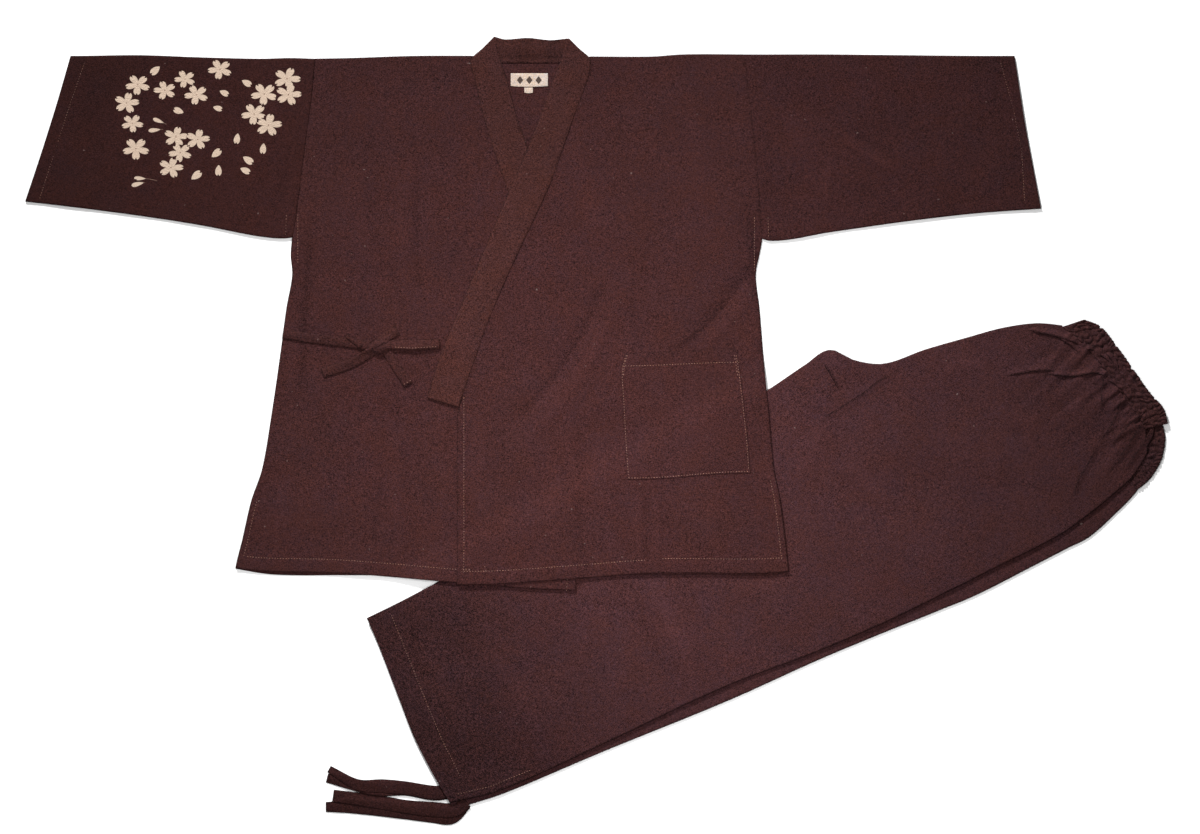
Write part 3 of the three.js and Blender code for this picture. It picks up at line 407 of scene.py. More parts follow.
LEG_CREASES = (
    ("ridge", 1086, -70, 1000, -128, -6, 1.4, 9), ("ridge", 1050, 6, 1000, -20, 3, 1.2, 12),
    ("trough", 1062, -30, 1000, -60, 4, 0.9, 9), ("trough", 1046, 84, 985, 70, 4, 1.2, 9),
    ("ridge", 1010, 70, 960, 50, 4, 0.9, 12), ("trough", 1056, 30, 990, 20, -4, 1.1, 9),
    ("trough", 953, -5, 939, -54, 4, 1.0, 10), ("ridge", 955, 12, 925, -50, 8, 1.0, 14),
    ("ridge", 690, 130, 610, 60, 8, 0.9, 18), ("ridge", 368, 30, 361, -140, 12, 1.5, 20),
    ("trough", 340, 10, 335, -130, 6, 0.9, 18), ("ridge", 683, 67, 720, -30, 5, 1.3, 16),
    ("ridge", 900, 36, 960, -30, 8, 0.8, 26), ("ridge", 120, 60, 150, -120, 6, 0.7, 26),
    ("ridge", 40, 100, 60, -110, 6, 0.6, 20), ("ridge", 500, 60, 520, -140, 8, 0.8, 24),
    ("ridge", 860, 110, 940, 90, 6, 1.0, 16), ("trough", 870, -60, 940, -120, 8, 0.7, 24),
    ("ridge", 750, 170, 735, 205, 3, 1.2, 8), ("trough", 775, 150, 700, 150, -5, 1.0, 9),
)

# Heights of the layers, in the part's frame, from the floor up

over_legs = cover(UPPER_LEG_RING, 2, 48)
over_right_front = cover(RIGHT_RING, 1.2, 7)
over_right_collar = cover(RIGHT_COLLAR_RING, 1.2, 40)
over_back = cover(BACK_RING, 4, 20)


def back_low(x, y):
    return LEGS_HIGH * over_legs(x, y)


def collar_low(x, y):
    return back_low(x, y) + WALL + GAP


def right_low(x, y):
    lift = creased(RIGHT_FRONT_CREASES, own_jacket, x, y)[0] + swell(x, y, 3, 120, 0.35) + 0.5
    return collar_low(x, y) + np.maximum(lift, 0)


def left_base(x, y):
    front = (right_low(x, y) - collar_low(x, y) + WALL + GAP) * over_right_front(x, y)
    collar = (COLLAR_WALL + GAP) * over_right_collar(x, y)
    return collar_low(x, y) + np.maximum(front, collar)


def left_low(x, y):
    lift = creased(LEFT_FRONT_CREASES, own_jacket, x, y)[0] + swell(x, y, 5, 130, 0.4) + 0.6
    return left_base(x, y) + np.maximum(lift, 0)


def waist_off(along, out):
    """How far below the waist seam a place is, and how far along the seam."""
    seam = np.stack([UPPER_WAIST["seam_along"], UPPER_WAIST["seam_out"]], -1)
    fine = np.stack([np.interp(np.linspace(0, 6, 40), range(7), seam[:, k]) for k in (0, 1)], -1)
    off, _, place = along_line(fine, along, out)
    return off, place * WAIST_SEAM_LONG


# Waves of the fullness below the elastic: length, height, start
GATHERS = ((6.5, 0.35, 0.3), (9.5, 0.7, 1.9), (14, 1.0, 4.0), (23, 1.0, 2.2), (37, 0.9, 5.1))


def gathers(along, out):
    """Fullness drawn in by the elastic: fine waves that die away soon, and broad ones that run on."""
    off, place = waist_off(along, out)
    total = np.zeros(np.shape(along))
    for length, tall, start in GATHERS:
        drift = 5.0 * np.sin(place / 27 + start) + 0.16 * off * np.sin(place / 40 + start)
        total += tall * np.exp(-off / (2.1 * length)) * np.sin((place + drift) * FULL_TURN / length + start)
    return total


def upper_leg_low(x, y):
    along, out = own_legs(x, y)
    lift = creased(LEG_CREASES, own_legs, x, y)[0] + gathers(along, out) + swell(x, y, 8, 150, 0.5)
    return LEG_WALL + GAP + np.maximum(lift + 0.9, 0) * (1 - over_back(x, y))


# Meshes

def put_object(name, data):
    made = bpy.data.objects.new(name, data)
    bpy.context.collection.objects.link(made)
    return made


def paint_tone(mesh, tone):
    """Keeps the painted shade and highlight of each corner, for the weave to read."""
    layer = mesh.attributes.new("tone", "FLOAT", "POINT")
    layer.data.foreach_set("value", np.asarray(tone, np.float32).ravel())


def make_piece(name, verts, quads, tone, uv=None, more=()):
    """Mesh object from corner places in millimetres and faces of four corners; more parts may join it."""
    for part_verts, part_quads, part_tone in more:
        quads = np.concatenate([quads, part_quads + len(verts)])
        tone = np.concatenate([np.ravel(tone), part_tone])
        verts = np.concatenate([verts, part_verts])
    mesh = bpy.data.meshes.new(name + "_cloth")
    mesh.vertices.add(len(verts))
    mesh.vertices.foreach_set("co", (np.asarray(verts) * MM).astype(np.float32).ravel())
    mesh.loops.add(4 * len(quads))
    mesh.loops.foreach_set("vertex_index", quads.astype(np.int32).ravel())
    mesh.polygons.add(len(quads))
    mesh.polygons.foreach_set("loop_start", np.arange(0, 4 * len(quads), 4, dtype=np.int32))
    mesh.polygons.foreach_set("use_smooth", np.ones(len(quads), bool))
    mesh.update(calc_edges=True)
    paint_tone(mesh, tone)
    if uv is not None:
        mesh.uv_layers.new(name="motif").data.foreach_set("uv", uv.astype(np.float32).ravel())
    return put_object(name + "_cloth", mesh)


def strip_lines(step, size):
    """Grid lines over a size: fine ones at both ends, even ones between. Offsets and shares."""
    fine = np.array(FINE)
    count = max(2, int(round((size - 2 * fine[-1]) / step)))
    share = np.linspace(0, 1, count + 1)[1:-1]
    offset = np.concatenate([fine, np.full(len(share), fine[-1]), 2 * fine[-1] - fine[::-1]])
    part = np.concatenate([np.zeros(len(fine)), share, np.ones(len(fine))])
    roll = np.concatenate([ROLL, np.zeros(len(share)), ROLL[::-1]])
    return offset, part, roll


def spaced(start, end, lines):
    offset, part, _ = lines
    return start + offset + (end - start - 2 * FINE[-1]) * part


def end_roll(count):
    """Rounding of a grid that has a rim on its first and its last line only."""
    roll = np.zeros(count)
    roll[[0, -1]] = ROLL[0]
    return roll


def grid_quads(n, m, first=0, wrap=False):
    """Faces of an n by m grid, turned so that they face up when rows run in x and columns in y."""
    i, j = np.meshgrid(np.arange(n - 1), np.arange(m if wrap else m - 1), indexing="ij")
    k = (j + 1) % m
    quads = np.stack([i * m + j, (i + 1) * m + j, (i + 1) * m + k, i * m + k], -1).reshape(-1, 4)
    return quads + first


def faces_down(start, on_row, on_column):
    """Whether the face between three corners looks down."""
    return np.cross(np.append((on_row - start)[:2], 0), np.append((on_column - start)[:2], 0))[2] < 0


def sheet_piece(name, x, y, top, bottom, roll, tone):
    """A thin closed sheet over a plan grid. roll rounds its rims."""
    n, m = x.shape
    thick = top - bottom
    upper = np.stack([x, y, top - roll * thick], -1).reshape(-1, 3)
    lower = np.stack([x, y, bottom + roll * thick], -1).reshape(-1, 3)
    first = n * m
    up = grid_quads(n, m)
    under = grid_quads(n, m, first)[:, ::-1]
    index = np.arange(n * m).reshape(n, m)
    loop = np.concatenate([index[:, 0], index[-1, 1:], index[-2::-1, -1], index[0, -2:0:-1]])
    after = np.roll(loop, -1)
    rim = np.stack([loop, loop + first, after + first, after], -1)
    quads = np.concatenate([up, under, rim])
    if faces_down(upper[0], upper[m], upper[1]):
        quads = quads[:, ::-1]
    return make_piece(name, np.concatenate([upper, lower]), quads, np.tile(tone.ravel(), 2))


def tube_piece(name, x, y, x_in, y_in, top, bottom, roll, tone, uv_of=None, more=()):
    """A flattened tube, open at its first and last column: an outer and an inner skin.

    Rows run across the tube, from one fold to the other; columns run along it.
    """
    n, m = x.shape
    thick = top - bottom
    edge = np.maximum(roll[:, None] / ROLL[0], 0)
    outer_top = top - 0.46 * thick * edge
    outer_low = bottom + 0.46 * thick * edge
    mid = (top + bottom) / 2
    inner_top = np.maximum(mid + (top - PLY - mid) * (1 - edge), mid + TUBE_GAP)
    inner_low = np.minimum(mid + (bottom + PLY - mid) * (1 - edge), mid - TUBE_GAP)

    def ring(px, py, high, low):
        upper = np.stack([px, py, high], -1)
        under = np.stack([px, py, low], -1)[::-1]
        return np.concatenate([upper, under])
    outer = ring(x, y, outer_top, outer_low)
    inner = ring(x_in, y_in, inner_top, inner_low)
    around = 2 * n
    first = around * m
    index = np.arange(first).reshape(around, m)
    after = np.roll(index, -1, 0)
    skin = np.stack([index[:, :-1], after[:, :-1], after[:, 1:], index[:, 1:]], -1).reshape(-1, 4)
    lining = skin[:, ::-1] + first
    start = np.stack([index[:, 0], index[:, 0] + first, after[:, 0] + first, after[:, 0]], -1)
    end = np.stack([index[:, -1], after[:, -1], after[:, -1] + first, index[:, -1] + first], -1)
    quads = np.concatenate([skin, lining, start, end])
    verts = np.concatenate([outer.reshape(-1, 3), inner.reshape(-1, 3)])
    i, j = n // 2, m // 2
    if faces_down(*verts[[index[i, j], index[i + 1, j], index[i, j + 1]]]):
        quads = quads[:, ::-1]
    shades = np.concatenate([tone.ravel(), np.zeros(3 * tone.size)])
    return make_piece(name, verts, quads, shades, uv_of(verts, quads) if uv_of else None, more)


# Section of a sharp fold: share of its width (the steep side is plus) and share of its height
FOLD_SIDE = (-1.0, -0.78, -0.5, -0.25, -0.1, 0.0, 0.07, 0.1, 0.09, 0.05)
FOLD_HIGH = (0.0, 0.16, 0.5, 0.84, 0.98, 1.0, 0.88, 0.6, 0.25, 0.0)


def fold_parts(folds, place, surface):
    """Sharp folds: slim closed strips on a surface, gentle on one side, overhanging on the other."""
    parts = []
    side, high = np.array(FOLD_SIDE), np.array(FOLD_HIGH)
    for tall, wide, *points in folds:
        pts = np.array(points, float)
        rows = table("at u v", *[(i, *q) for i, q in enumerate(pts)])
        count = max(6, int(sum(np.hypot(*(pts[1:] - pts[:-1]).T)) / (2.2)))
        t = np.linspace(0, len(pts) - 1, count)
        u, v = column(rows, "at", "u", t), column(rows, "at", "v", t)
        du, dv = np.gradient(u), np.gradient(v)
        long = np.hypot(du, dv)
        turn = -np.sign(wide)
        nu, nv = turn * -dv / long, turn * du / long
        share = t / t[-1]
        taper = (smooth(share / 0.25) * smooth((1 - share) / 0.3)) ** 0.7
        off = side[None, :] * abs(wide) * (0.45 + 0.55 * taper[:, None])
        x, y = place(u[:, None] + nu[:, None] * off, v[:, None] + nv[:, None] * off)
        z = surface(x, y) - 0.3 + (tall + 0.25) * high[None, :] * taper[:, None]
        ring = np.stack([x, y, z], -1)
        m = len(side)
        quads = grid_quads(count, m, wrap=True)
        ends = [[r * m + k for k in (i, i + 1, m - 2 - i, m - 1 - i)] for r in (0, count - 1)
                for i in range(m // 2 - 1)]
        quads = np.concatenate([quads, np.array(ends)])
        if turn < 0:
            quads = quads[:, ::-1]
        # painted shade on the steep side of each fold, a little painted highlight on its crest
        shade = (0.3 * high - 1.3 * (side > -0.12) - 1.5 * (side > 0.05))[None, :] * taper[:, None]
        parts.append((ring.reshape(-1, 3), quads, shade.ravel()))
    return parts


def body_panel(left_of, right_of, top_of, hem_of, width, length, step=GRID_STEP):
    """Plan grid of a jacket panel between its two side edges, its top and its hem."""
    rows, cols = strip_lines(step, length), strip_lines(step, width)
    down = np.linspace(0, length, len(rows[0]))[:, None] * np.ones(len(cols[0]))
    x = np.zeros_like(down)
    for _ in range(ROUNDS):
        start, end = left_of(down), right_of(down)
        x = start + cols[0] + (end - start - 2 * FINE[-1]) * cols[1]
        high, low = top_of(x), hem_of(x)
        down = high + rows[0][:, None] + (low - high - 2 * FINE[-1]) * rows[1][:, None]
    roll = np.maximum(rows[2][:, None], cols[2][None, :])
    return x, down, roll


def hem_band(off, wide, tall=0.5):
    """Extra height of a turned-in hem, with the dent of its stitches."""
    return tall * smooth((wide + 1.5 - off) / 3) - 0.5 * np.exp(-((off - wide + 2.5) / 1.6) ** 2)


# Materials

def feed(tree, node, inputs):
    """Gives each input, by name or number, a value or a link from another node's socket."""
    for key, value in inputs.items():
        if isinstance(value, bpy.types.NodeSocket):
            tree.links.new(value, node.inputs[key])
        else:
            node.inputs[key].default_value = value


def new_node(tree, kind, inputs=None, **settings):
    node = tree.nodes.new(kind)
    for key, value in settings.items():
        setattr(node, key, value)
    feed(tree, node, inputs or {})
    return node


def arithmetic(tree, *operations):
    """A short function for each named operation; its values are sockets or numbers."""
    def step(operation):
        return lambda *values, clamp=False: new_node(
            tree, "ShaderNodeMath", dict(enumerate(values)), operation=operation, use_clamp=clamp).outputs[0]
    return [step(operation) for operation in operations]


def mix_colour(tree, factor, a, b, blend="MIX"):
    inputs = {0: factor, 6: a, 7: b}
    return new_node(tree, "ShaderNodeMix", inputs, data_type="RGBA", blend_type=blend).outputs[2]


def noise(tree, vector, scale, detail, rough):
    inputs = {"Scale": scale, "Detail": detail, "Roughness": rough, "Vector": vector}
    return new_node(tree, "ShaderNodeTexNoise", inputs).outputs["Fac"]


def stretched(tree, vector, scale):
    """Places scaled by a factor on each axis."""
    return new_node(tree, "ShaderNodeMapping", {"Scale": scale, "Vector": vector}).outputs[0]


def open_group(name, kind, inputs, outputs):
    """A node group with its sockets; returns it, what it is given, and its output node."""
    group = bpy.data.node_groups.new(name, kind)
    for label, socket, value in inputs:
        made = group.interface.new_socket(name=label, in_out="INPUT", socket_type="NodeSocket" + socket)
        if value is not None:
            made.default_value = value
    for label, socket in outputs:
        group.interface.new_socket(name=label, in_out="OUTPUT", socket_type="NodeSocket" + socket)
    return group, group.nodes.new("NodeGroupInput").outputs, group.nodes.new("NodeGroupOutput")


# Painted shade of light falling off: the cloth is darker towards the cuffs and ankles, by this share at a
# metre from the middle, and by this power of the distance nearer in
FALLOFF_SHADE = 0.6
FALLOFF_SHADE_POWER = 1.45
# Colour shifts of single yarns, and the colour of lint
RUST = (1.19, 0.95, 0.76, 1)
VIOLET = (0.86, 1.03, 1.33, 1)
LINT = (0.17, 0.12, 0.11, 1)
# Yarn slubs, fine threads, grain and dye patches: noise scales per metre, and gains
SLUB_SCALE, SLUB_GAIN = (210, 640), 1.05
THREAD_SCALE, THREAD_GAIN = (300, 1500), 1.5
GRAIN_SCALE, GRAIN_GAIN = 820, 2.5
DYE_SCALE, DYE_GAIN = 11, 0.28
HUE_SCALE, PATCH_SCALE = 420, 26
LINT_SCALE, LINT_ABOVE = 160, 0.79


def cotton_weave():
    """Slubby plain weave: streaks of uneven yarn both ways, speckle, slow dye patches and lint."""
    group, given, out = open_group(
        "cotton_weave", "ShaderNodeTree",
        (("Cloth", "Color", (0.07, 0.03, 0.03, 1)), ("Turn", "Vector", (0, 0, 0)),
         ("Speckle", "Float", 1.0), ("Painted_shading", "Float", 0.35)),
        (("Colour", "Color"), ("Roughness", "Float"), ("Height", "Float")))
    add, less, times, power, most = arithmetic(group, "ADD", "SUBTRACT", "MULTIPLY", "POWER", "MAXIMUM")
    place = new_node(group, "ShaderNodeTexCoord").outputs["Object"]
    cloth = new_node(group, "ShaderNodeMapping", {"Rotation": given["Turn"], "Vector": place}).outputs[0]

    def uneven(vector, scale, detail, rough, gain):
        """Noise around 0."""
        return times(less(noise(group, vector, scale, detail, rough), 0.5), gain)

    def yarn(long, short, rough, gain):
        """Streaks along both threads of the weave."""
        weft, warp = (long, short, long), (short, long, long)
        return add(*(uneven(stretched(group, cloth, way), 1.0, 2, rough, gain) for way in (weft, warp)))
    speck = add(yarn(*SLUB_SCALE, 0.6, SLUB_GAIN), yarn(*THREAD_SCALE, 0.5, THREAD_GAIN))
    speck = add(speck, uneven(cloth, GRAIN_SCALE, 1, 0.5, GRAIN_GAIN))
    value = add(times(speck, given["Speckle"]), uneven(cloth, DYE_SCALE, 3, 0.55, DYE_GAIN))
    # The tone attribute is painted shading: dark in creases, seams and rims, light on ridges, scaled by the
    # group's shading gain
    tone = new_node(group, "ShaderNodeAttribute", attribute_name="tone").outputs["Fac"]
    value = add(value, times(tone, given["Painted_shading"]))
    # Painted shade of light falling off: the cloth grows darker with distance from the middle
    plan = stretched(group, place, (1.0, 1.0, 0.0))
    far = new_node(group, "ShaderNodeVectorMath", {0: plan}, operation="LENGTH").outputs["Value"]
    falloff_shade = times(power(far, FALLOFF_SHADE_POWER), -FALLOFF_SHADE)
    gain = most(times(add(value, 1.0), add(falloff_shade, 1.0)), 0.1)
    single, patch = noise(group, cloth, HUE_SCALE, 3, 0.6), noise(group, cloth, PATCH_SCALE, 3, 0.5)
    hue = times(less(add(times(single, 0.6), times(patch, 0.3)), 0.36), 2.2, clamp=True)
    shift = mix_colour(group, hue, RUST, VIOLET)
    coloured = mix_colour(group, 1.0, given["Cloth"], shift, "MULTIPLY")
    shaded = new_node(group, "ShaderNodeVectorMath", {0: coloured, "Scale": gain}, operation="SCALE")
    lint = times(less(noise(group, cloth, LINT_SCALE, 1, 0.5), LINT_ABOVE), 22.0, clamp=True)
    feed(group, out, {
        "Colour": mix_colour(group, times(lint, 0.5), shaded.outputs[0], LINT),
        "Roughness": add(times(speck, -0.08), 0.88), "Height": speck})
    return group


WEAVE = cotton_weave()


def cloth_material(name, colour, turn=0.0, speckle=1.0, tone_gain=0.35, over=None):
    """Matt cotton. over may lay a printed pattern on the woven colour."""
    material = bpy.data.materials.new(name)
    material.use_nodes = True
    tree = material.node_tree
    weave = new_node(tree, "ShaderNodeGroup", node_tree=WEAVE)
    # The fourth setting scales the painted shade and highlight kept in each corner's tone
    feed(tree, weave, {"Cloth": (*colour, 1), "Turn": (0, 0, turn), "Speckle": speckle, "Painted_shading": tone_gain})
    woven = weave.outputs["Colour"]
    bump = new_node(tree, "ShaderNodeBump", {
        "Strength": 0.55, "Distance": 0.0006, "Height": weave.outputs["Height"]})
    feed(tree, tree.nodes["Principled BSDF"], {
        "Base Color": over(tree, woven) if over else woven, "Roughness": weave.outputs["Roughness"],
        "Normal": bump.outputs[0], "Specular IOR Level": 0.04, "Sheen Weight": 0.01, "Sheen Roughness": 0.6})
    return material


# Cherry blossom print: each face of the sleeve keeps, in its motif map, where it lies on the nearest
# motif. Blossoms are drawn around 0, loose petals one step on and buds two steps on.

MOTIF_STEP = 10.0
NO_MOTIF = 50.0
BLOSSOM_SIZE = 18.2
PETAL_SIZE = 8.0
BUD_SIZE = 9.5
BLOSSOMS = table(
    "x down turn scale",
    (-549, 37.5, 95, 0.95), (-564.5, 63, 66, 0.97), (-511, 45.5, 110, 0.87), (-483, 29.5, 103, 0.82),
    (-467, 51.5, 100, 0.93), (-434, 16, 100, 0.93), (-556.5, 91.5, 85, 0.85), (-551.5, 127, 90, 1.03),
    (-495.5, 110.5, 66, 0.94), (-465, 114, 66, 0.94), (-489.5, 132.5, 98, 0.90), (-502.5, 153.5, 70, 0.96),
    (-372, 50.5, 95, 1.03), (-340, 29, 75, 1.04), (-338, 51.5, 68, 1.0), (-386, 78.5, 97, 1.0),
    (-366, 94, 65, 1.04),
)
PETALS = table(
    "x down turn scale",
    (-524.5, 17.5, 139, 1.05), (-396.5, 35, 28, 0.95), (-428, 49, 25, 0.88), (-437, 70.5, 15, 0.84),
    (-492, 74, 200, 0.95), (-410, 113, 100, 0.95), (-373.5, 127, 97, 0.95), (-439, 133.5, 320, 1.05),
    (-394.5, 143, 33, 1.05), (-398.5, 157.5, 25, 0.95), (-436, 157.5, 93, 0.98), (-467, 164.5, 322, 1.1),
)
BUDS = table(
    "x down turn scale",
    (-520, 88, 22, 1.0), (-525.5, 101, -6, 1.05), (-546, 168.5, 3, 1.0), (-549, 176.5, -14, 1.1),
)
# The flowers are seen a little from below, so they are lower than wide
BLOSSOM_SQUASH = 0.82


def motif_map(verts, quads):
    """Place of each face corner on the motif nearest to the face."""
    u, v = own_jacket(verts[:, 0], verts[:, 1])
    plan = np.stack([u, v], -1)
    middle = plan[quads].mean(1)
    best = np.full(len(quads), 1e9)
    result = np.full((len(quads), 4, 2), NO_MOTIF)
    kinds = (
        (BLOSSOMS, BLOSSOM_SIZE, BLOSSOM_SQUASH, 1.5), (PETALS, PETAL_SIZE, 1.0, 1.5),
        (BUDS, BUD_SIZE, 1.0, 3.2))
    for kind, (rows, size, squash, room) in enumerate(kinds):
        for x, down, turn, scale in zip(*(rows[k] for k in ("x", "down", "turn", "scale"))):
            shape = np.array([size * scale, size * scale * squash])
            d = np.hypot(*((middle - (x, down)) / shape).T)
            closer = (d < best) & (d < room)
            best = np.where(closer, d, best)
            c, s = math.cos(math.radians(turn)), math.sin(math.radians(turn))
            local = (plan[quads[closer]] - (x, down)) / shape
            turned = np.stack([local[..., 0] * c + local[..., 1] * s + MOTIF_STEP * kind,
                               local[..., 1] * c - local[..., 0] * s], -1)
            result[closer] = turned
    return result.reshape(-1, 2)


CREAM = (0.47, 0.365, 0.285, 1)
CREAM_SHADE = (0.37, 0.275, 0.205, 1)
CREAM_VEIN = (0.17, 0.09, 0.065, 1)
STEM = (0.16, 0.10, 0.075, 1)


def cherry_print(tree, ground):
    """Cream five-petalled blossoms with notched tips and fine stamens, loose petals and buds on stems."""
    motif = new_node(tree, "ShaderNodeUVMap", uv_map="motif").outputs[0]
    part = new_node(tree, "ShaderNodeSeparateXYZ", {0: motif})
    add, less, times, over, power, root = arithmetic(
        tree, "ADD", "SUBTRACT", "MULTIPLY", "DIVIDE", "POWER", "SQRT")
    most, least, same, above, size_of = arithmetic(
        tree, "MAXIMUM", "MINIMUM", "COMPARE", "GREATER_THAN", "ABSOLUTE")
    floor, wrap, sine, cosine, angle = arithmetic(tree, "FLOOR", "MODULO", "SINE", "COSINE", "ARCTAN2")

    def below(value, edge, width):
        """1 where the value is below the edge, with a soft border."""
        return over(less(edge, value), width, clamp=True)
    kind = floor(over(add(part.outputs[0], MOTIF_STEP / 2), MOTIF_STEP))
    u, v = less(part.outputs[0], times(kind, MOTIF_STEP)), part.outputs[1]
    r = root(add(times(u, u), times(v, v)))
    fifth = 2 * math.pi / 5
    turned = add(angle(v, u), 2 * math.pi + fifth / 2)
    off = size_of(less(wrap(turned, fifth), fifth / 2))
    across, long = times(r, sine(off)), times(r, cosine(off))
    # petal: widest past its middle, narrow at its root, with a small notch at the tip
    room = times(root(most(times(less(long, 0.02), less(1.02, long)), 0.0)), 0.80)
    room = times(room, add(times(long, 0.42), 0.5))
    notch = less(long, times(across, 2.3))
    petal = times(below(less(across, room), 0.0, 0.03), below(notch, 0.83, 0.04))
    # loose petal: a drop with a notch at its round end
    drop = times(times(power(most(add(u, 1.0), 0.0), 0.8), root(most(less(1.0, u), 0.0))), 0.58)
    dent = below(less(u, times(size_of(v), 1.7)), 0.66, 0.06)
    loose = times(below(less(size_of(v), drop), 0.0, 0.06), dent)
    # bud: two slim lobes that meet at a thin stem
    lobe = times(root(most(less(1.0, power(over(u, 0.85), 2.0)), 0.0)), less(0.30, times(u, 0.16)))
    split = below(less(u, times(size_of(v), 2.4)), -2.0, 0.05)
    bud = times(below(less(size_of(v), lobe), 0.0, 0.08), below(split, 0.5, 0.1))
    bend = size_of(less(v, times(power(most(less(u, 0.6), 0.0), 2.0), 0.06)))
    stem = times(below(bend, 0.07, 0.05), times(above(u, 0.5), below(u, 2.6, 0.1)))

    def is_kind(n):
        return same(kind, float(n), 0.4)
    ink = most(times(is_kind(0), petal), most(times(is_kind(1), loose), times(is_kind(2), bud)))
    reach_out = times(below(long, 0.42, 0.1), below(less(0.0, long), -0.08, 0.03))
    stamens = times(below(across, 0.022, 0.02), reach_out)
    heart = below(r, 0.075, 0.04)
    brown = times(is_kind(0), most(times(stamens, 0.35), times(heart, 0.8)))
    rim = less(1.0, below(less(across, room), -0.05, 0.05))
    mottled = noise(tree, new_node(tree, "ShaderNodeTexCoord").outputs["Object"], 420, 2, 0.5)
    tone_gain = least(add(times(mottled, 0.45), times(times(rim, is_kind(0)), 0.2)), 1.0)
    flower = mix_colour(tree, brown, mix_colour(tree, tone_gain, CREAM, CREAM_SHADE), CREAM_VEIN)
    printed = mix_colour(tree, times(times(is_kind(2), stem), 0.6), ground, STEM)
    return mix_colour(tree, times(ink, 0.96), printed, flower)


LOZENGE_PITCH = 13.0
LOZENGE_HALF = 4.6
LOZENGE_BROWN = (0.03, 0.018, 0.015, 1)


def lozenge_print(tree, ground):
    """Three plain woven lozenges in a row, in the middle of the label."""
    place = new_node(tree, "ShaderNodeTexCoord").outputs["Object"]
    part = new_node(tree, "ShaderNodeSeparateXYZ", {0: place})
    add, less, times, size_of, fold, under = arithmetic(
        tree, "ADD", "SUBTRACT", "MULTIPLY", "ABSOLUTE", "PINGPONG", "LESS_THAN")
    middle = in_jacket(*LABEL_AT)
    dx, dy = (times(less(part.outputs[k], float(middle[k]) * MM), 1 / MM) for k in (0, 1))
    row = under(size_of(dx), 1.5 * LOZENGE_PITCH)
    shape = under(add(fold(dx, LOZENGE_PITCH / 2), times(size_of(dy), 0.8)), LOZENGE_HALF)
    return mix_colour(tree, times(row, times(shape, 0.93)), ground, LOZENGE_BROWN)


JACKET_COTTON = cloth_material("jacket_cotton", (0.0377, 0.0150, 0.0162))
BLOSSOM_COTTON = cloth_material("blossom_cotton", (0.0314, 0.0117, 0.0118), speckle=0.8, over=cherry_print)
SLEEVE_COTTON = cloth_material("sleeve_cotton", (0.0345, 0.0136, 0.0149))
COLLAR_COTTON = cloth_material("collar_cotton", (0.0425, 0.0171, 0.0166))
LEG_COTTON = cloth_material("trouser_cotton", (0.0432, 0.0184, 0.0214), -LEG_TURN)
WAIST_COTTON = cloth_material("waistband_cotton", (0.0395, 0.0168, 0.0190), -LEG_TURN, tone_gain=0.45)
TIE_COTTON = cloth_material("tie_cotton", (0.0350, 0.0141, 0.0143))
ANKLE_COTTON = cloth_material("ankle_tie_cotton", (0.026, 0.0100, 0.0105), -LEG_TURN)
LABEL_RIBBON = cloth_material("label_ribbon", (0.50, 0.475, 0.45), speckle=0.25, over=lozenge_print)
TAB_RIBBON = cloth_material("label_tab_ribbon", (0.50, 0.475, 0.45), speckle=0.25)
THREAD = cloth_material("sewing_thread", (0.25, 0.155, 0.13), speckle=0.5)


def finish_piece(piece, material, node):
    """Gives a piece its cloth and its body, and hides the solid it stands for."""
    piece.data.materials.append(material)
    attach(piece, "root")
    if node:
        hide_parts(node)


def painted_rim_shade(roll, strength=-0.9):
    """Painted shade: rims are a little darker, where the cloth turns under."""
    return strength * roll / ROLL[0]


def painted_shade_line(off, wide):
    """Painted shade: a dark line at a seam or a pressed edge."""
    return -np.exp(-(np.abs(off) / wide) ** 2)


# Jacket body

def shoulder(x):
    return column(SHOULDER, "x", "down", x)


def back():
    x, down, roll = body_panel(
        lambda d: column(BODY, "down", "right", d), lambda d: column(BODY, "down", "left", d),
        shoulder, lambda x: column(BACK_HEM, "x", "down", x), 690, 724, 2.2 * GRID_STEP)
    px, py = in_jacket(x, down)
    low = back_low(px, py)
    # darker rims: painted shade
    piece = sheet_piece("back", px, py, low + WALL - 0.1, low, roll, painted_rim_shade(roll))
    finish_piece(piece, JACKET_COTTON, "back")


def collar_seam(rows, d):
    return column(rows, "down", "seam", np.clip(d, COLLAR_SEAM_TOP, COLLAR_SEAM_FOOT))


def right_inner(d):
    """Inner edge of the right front: the collar's seam, then the underlap's edge."""
    past = d - COLLAR_SEAM_FOOT
    edge = np.clip(UNDERLAP_TOP + past / 6, UNDERLAP_TOP, UNDERLAP_EDGE)
    return np.where(past < 0, collar_seam(RIGHT_COLLAR, d) + SEAM_LAP, edge)


def left_inner(d):
    """Inner edge of the left front: the collar's seam, then the overlap's edge."""
    past = d - COLLAR_SEAM_FOOT
    edge = np.maximum(OVERLAP_TOP - past * 0.3, OVERLAP_EDGE)
    return np.where(past < 0, collar_seam(LEFT_COLLAR, d) - SEAM_LAP, edge)


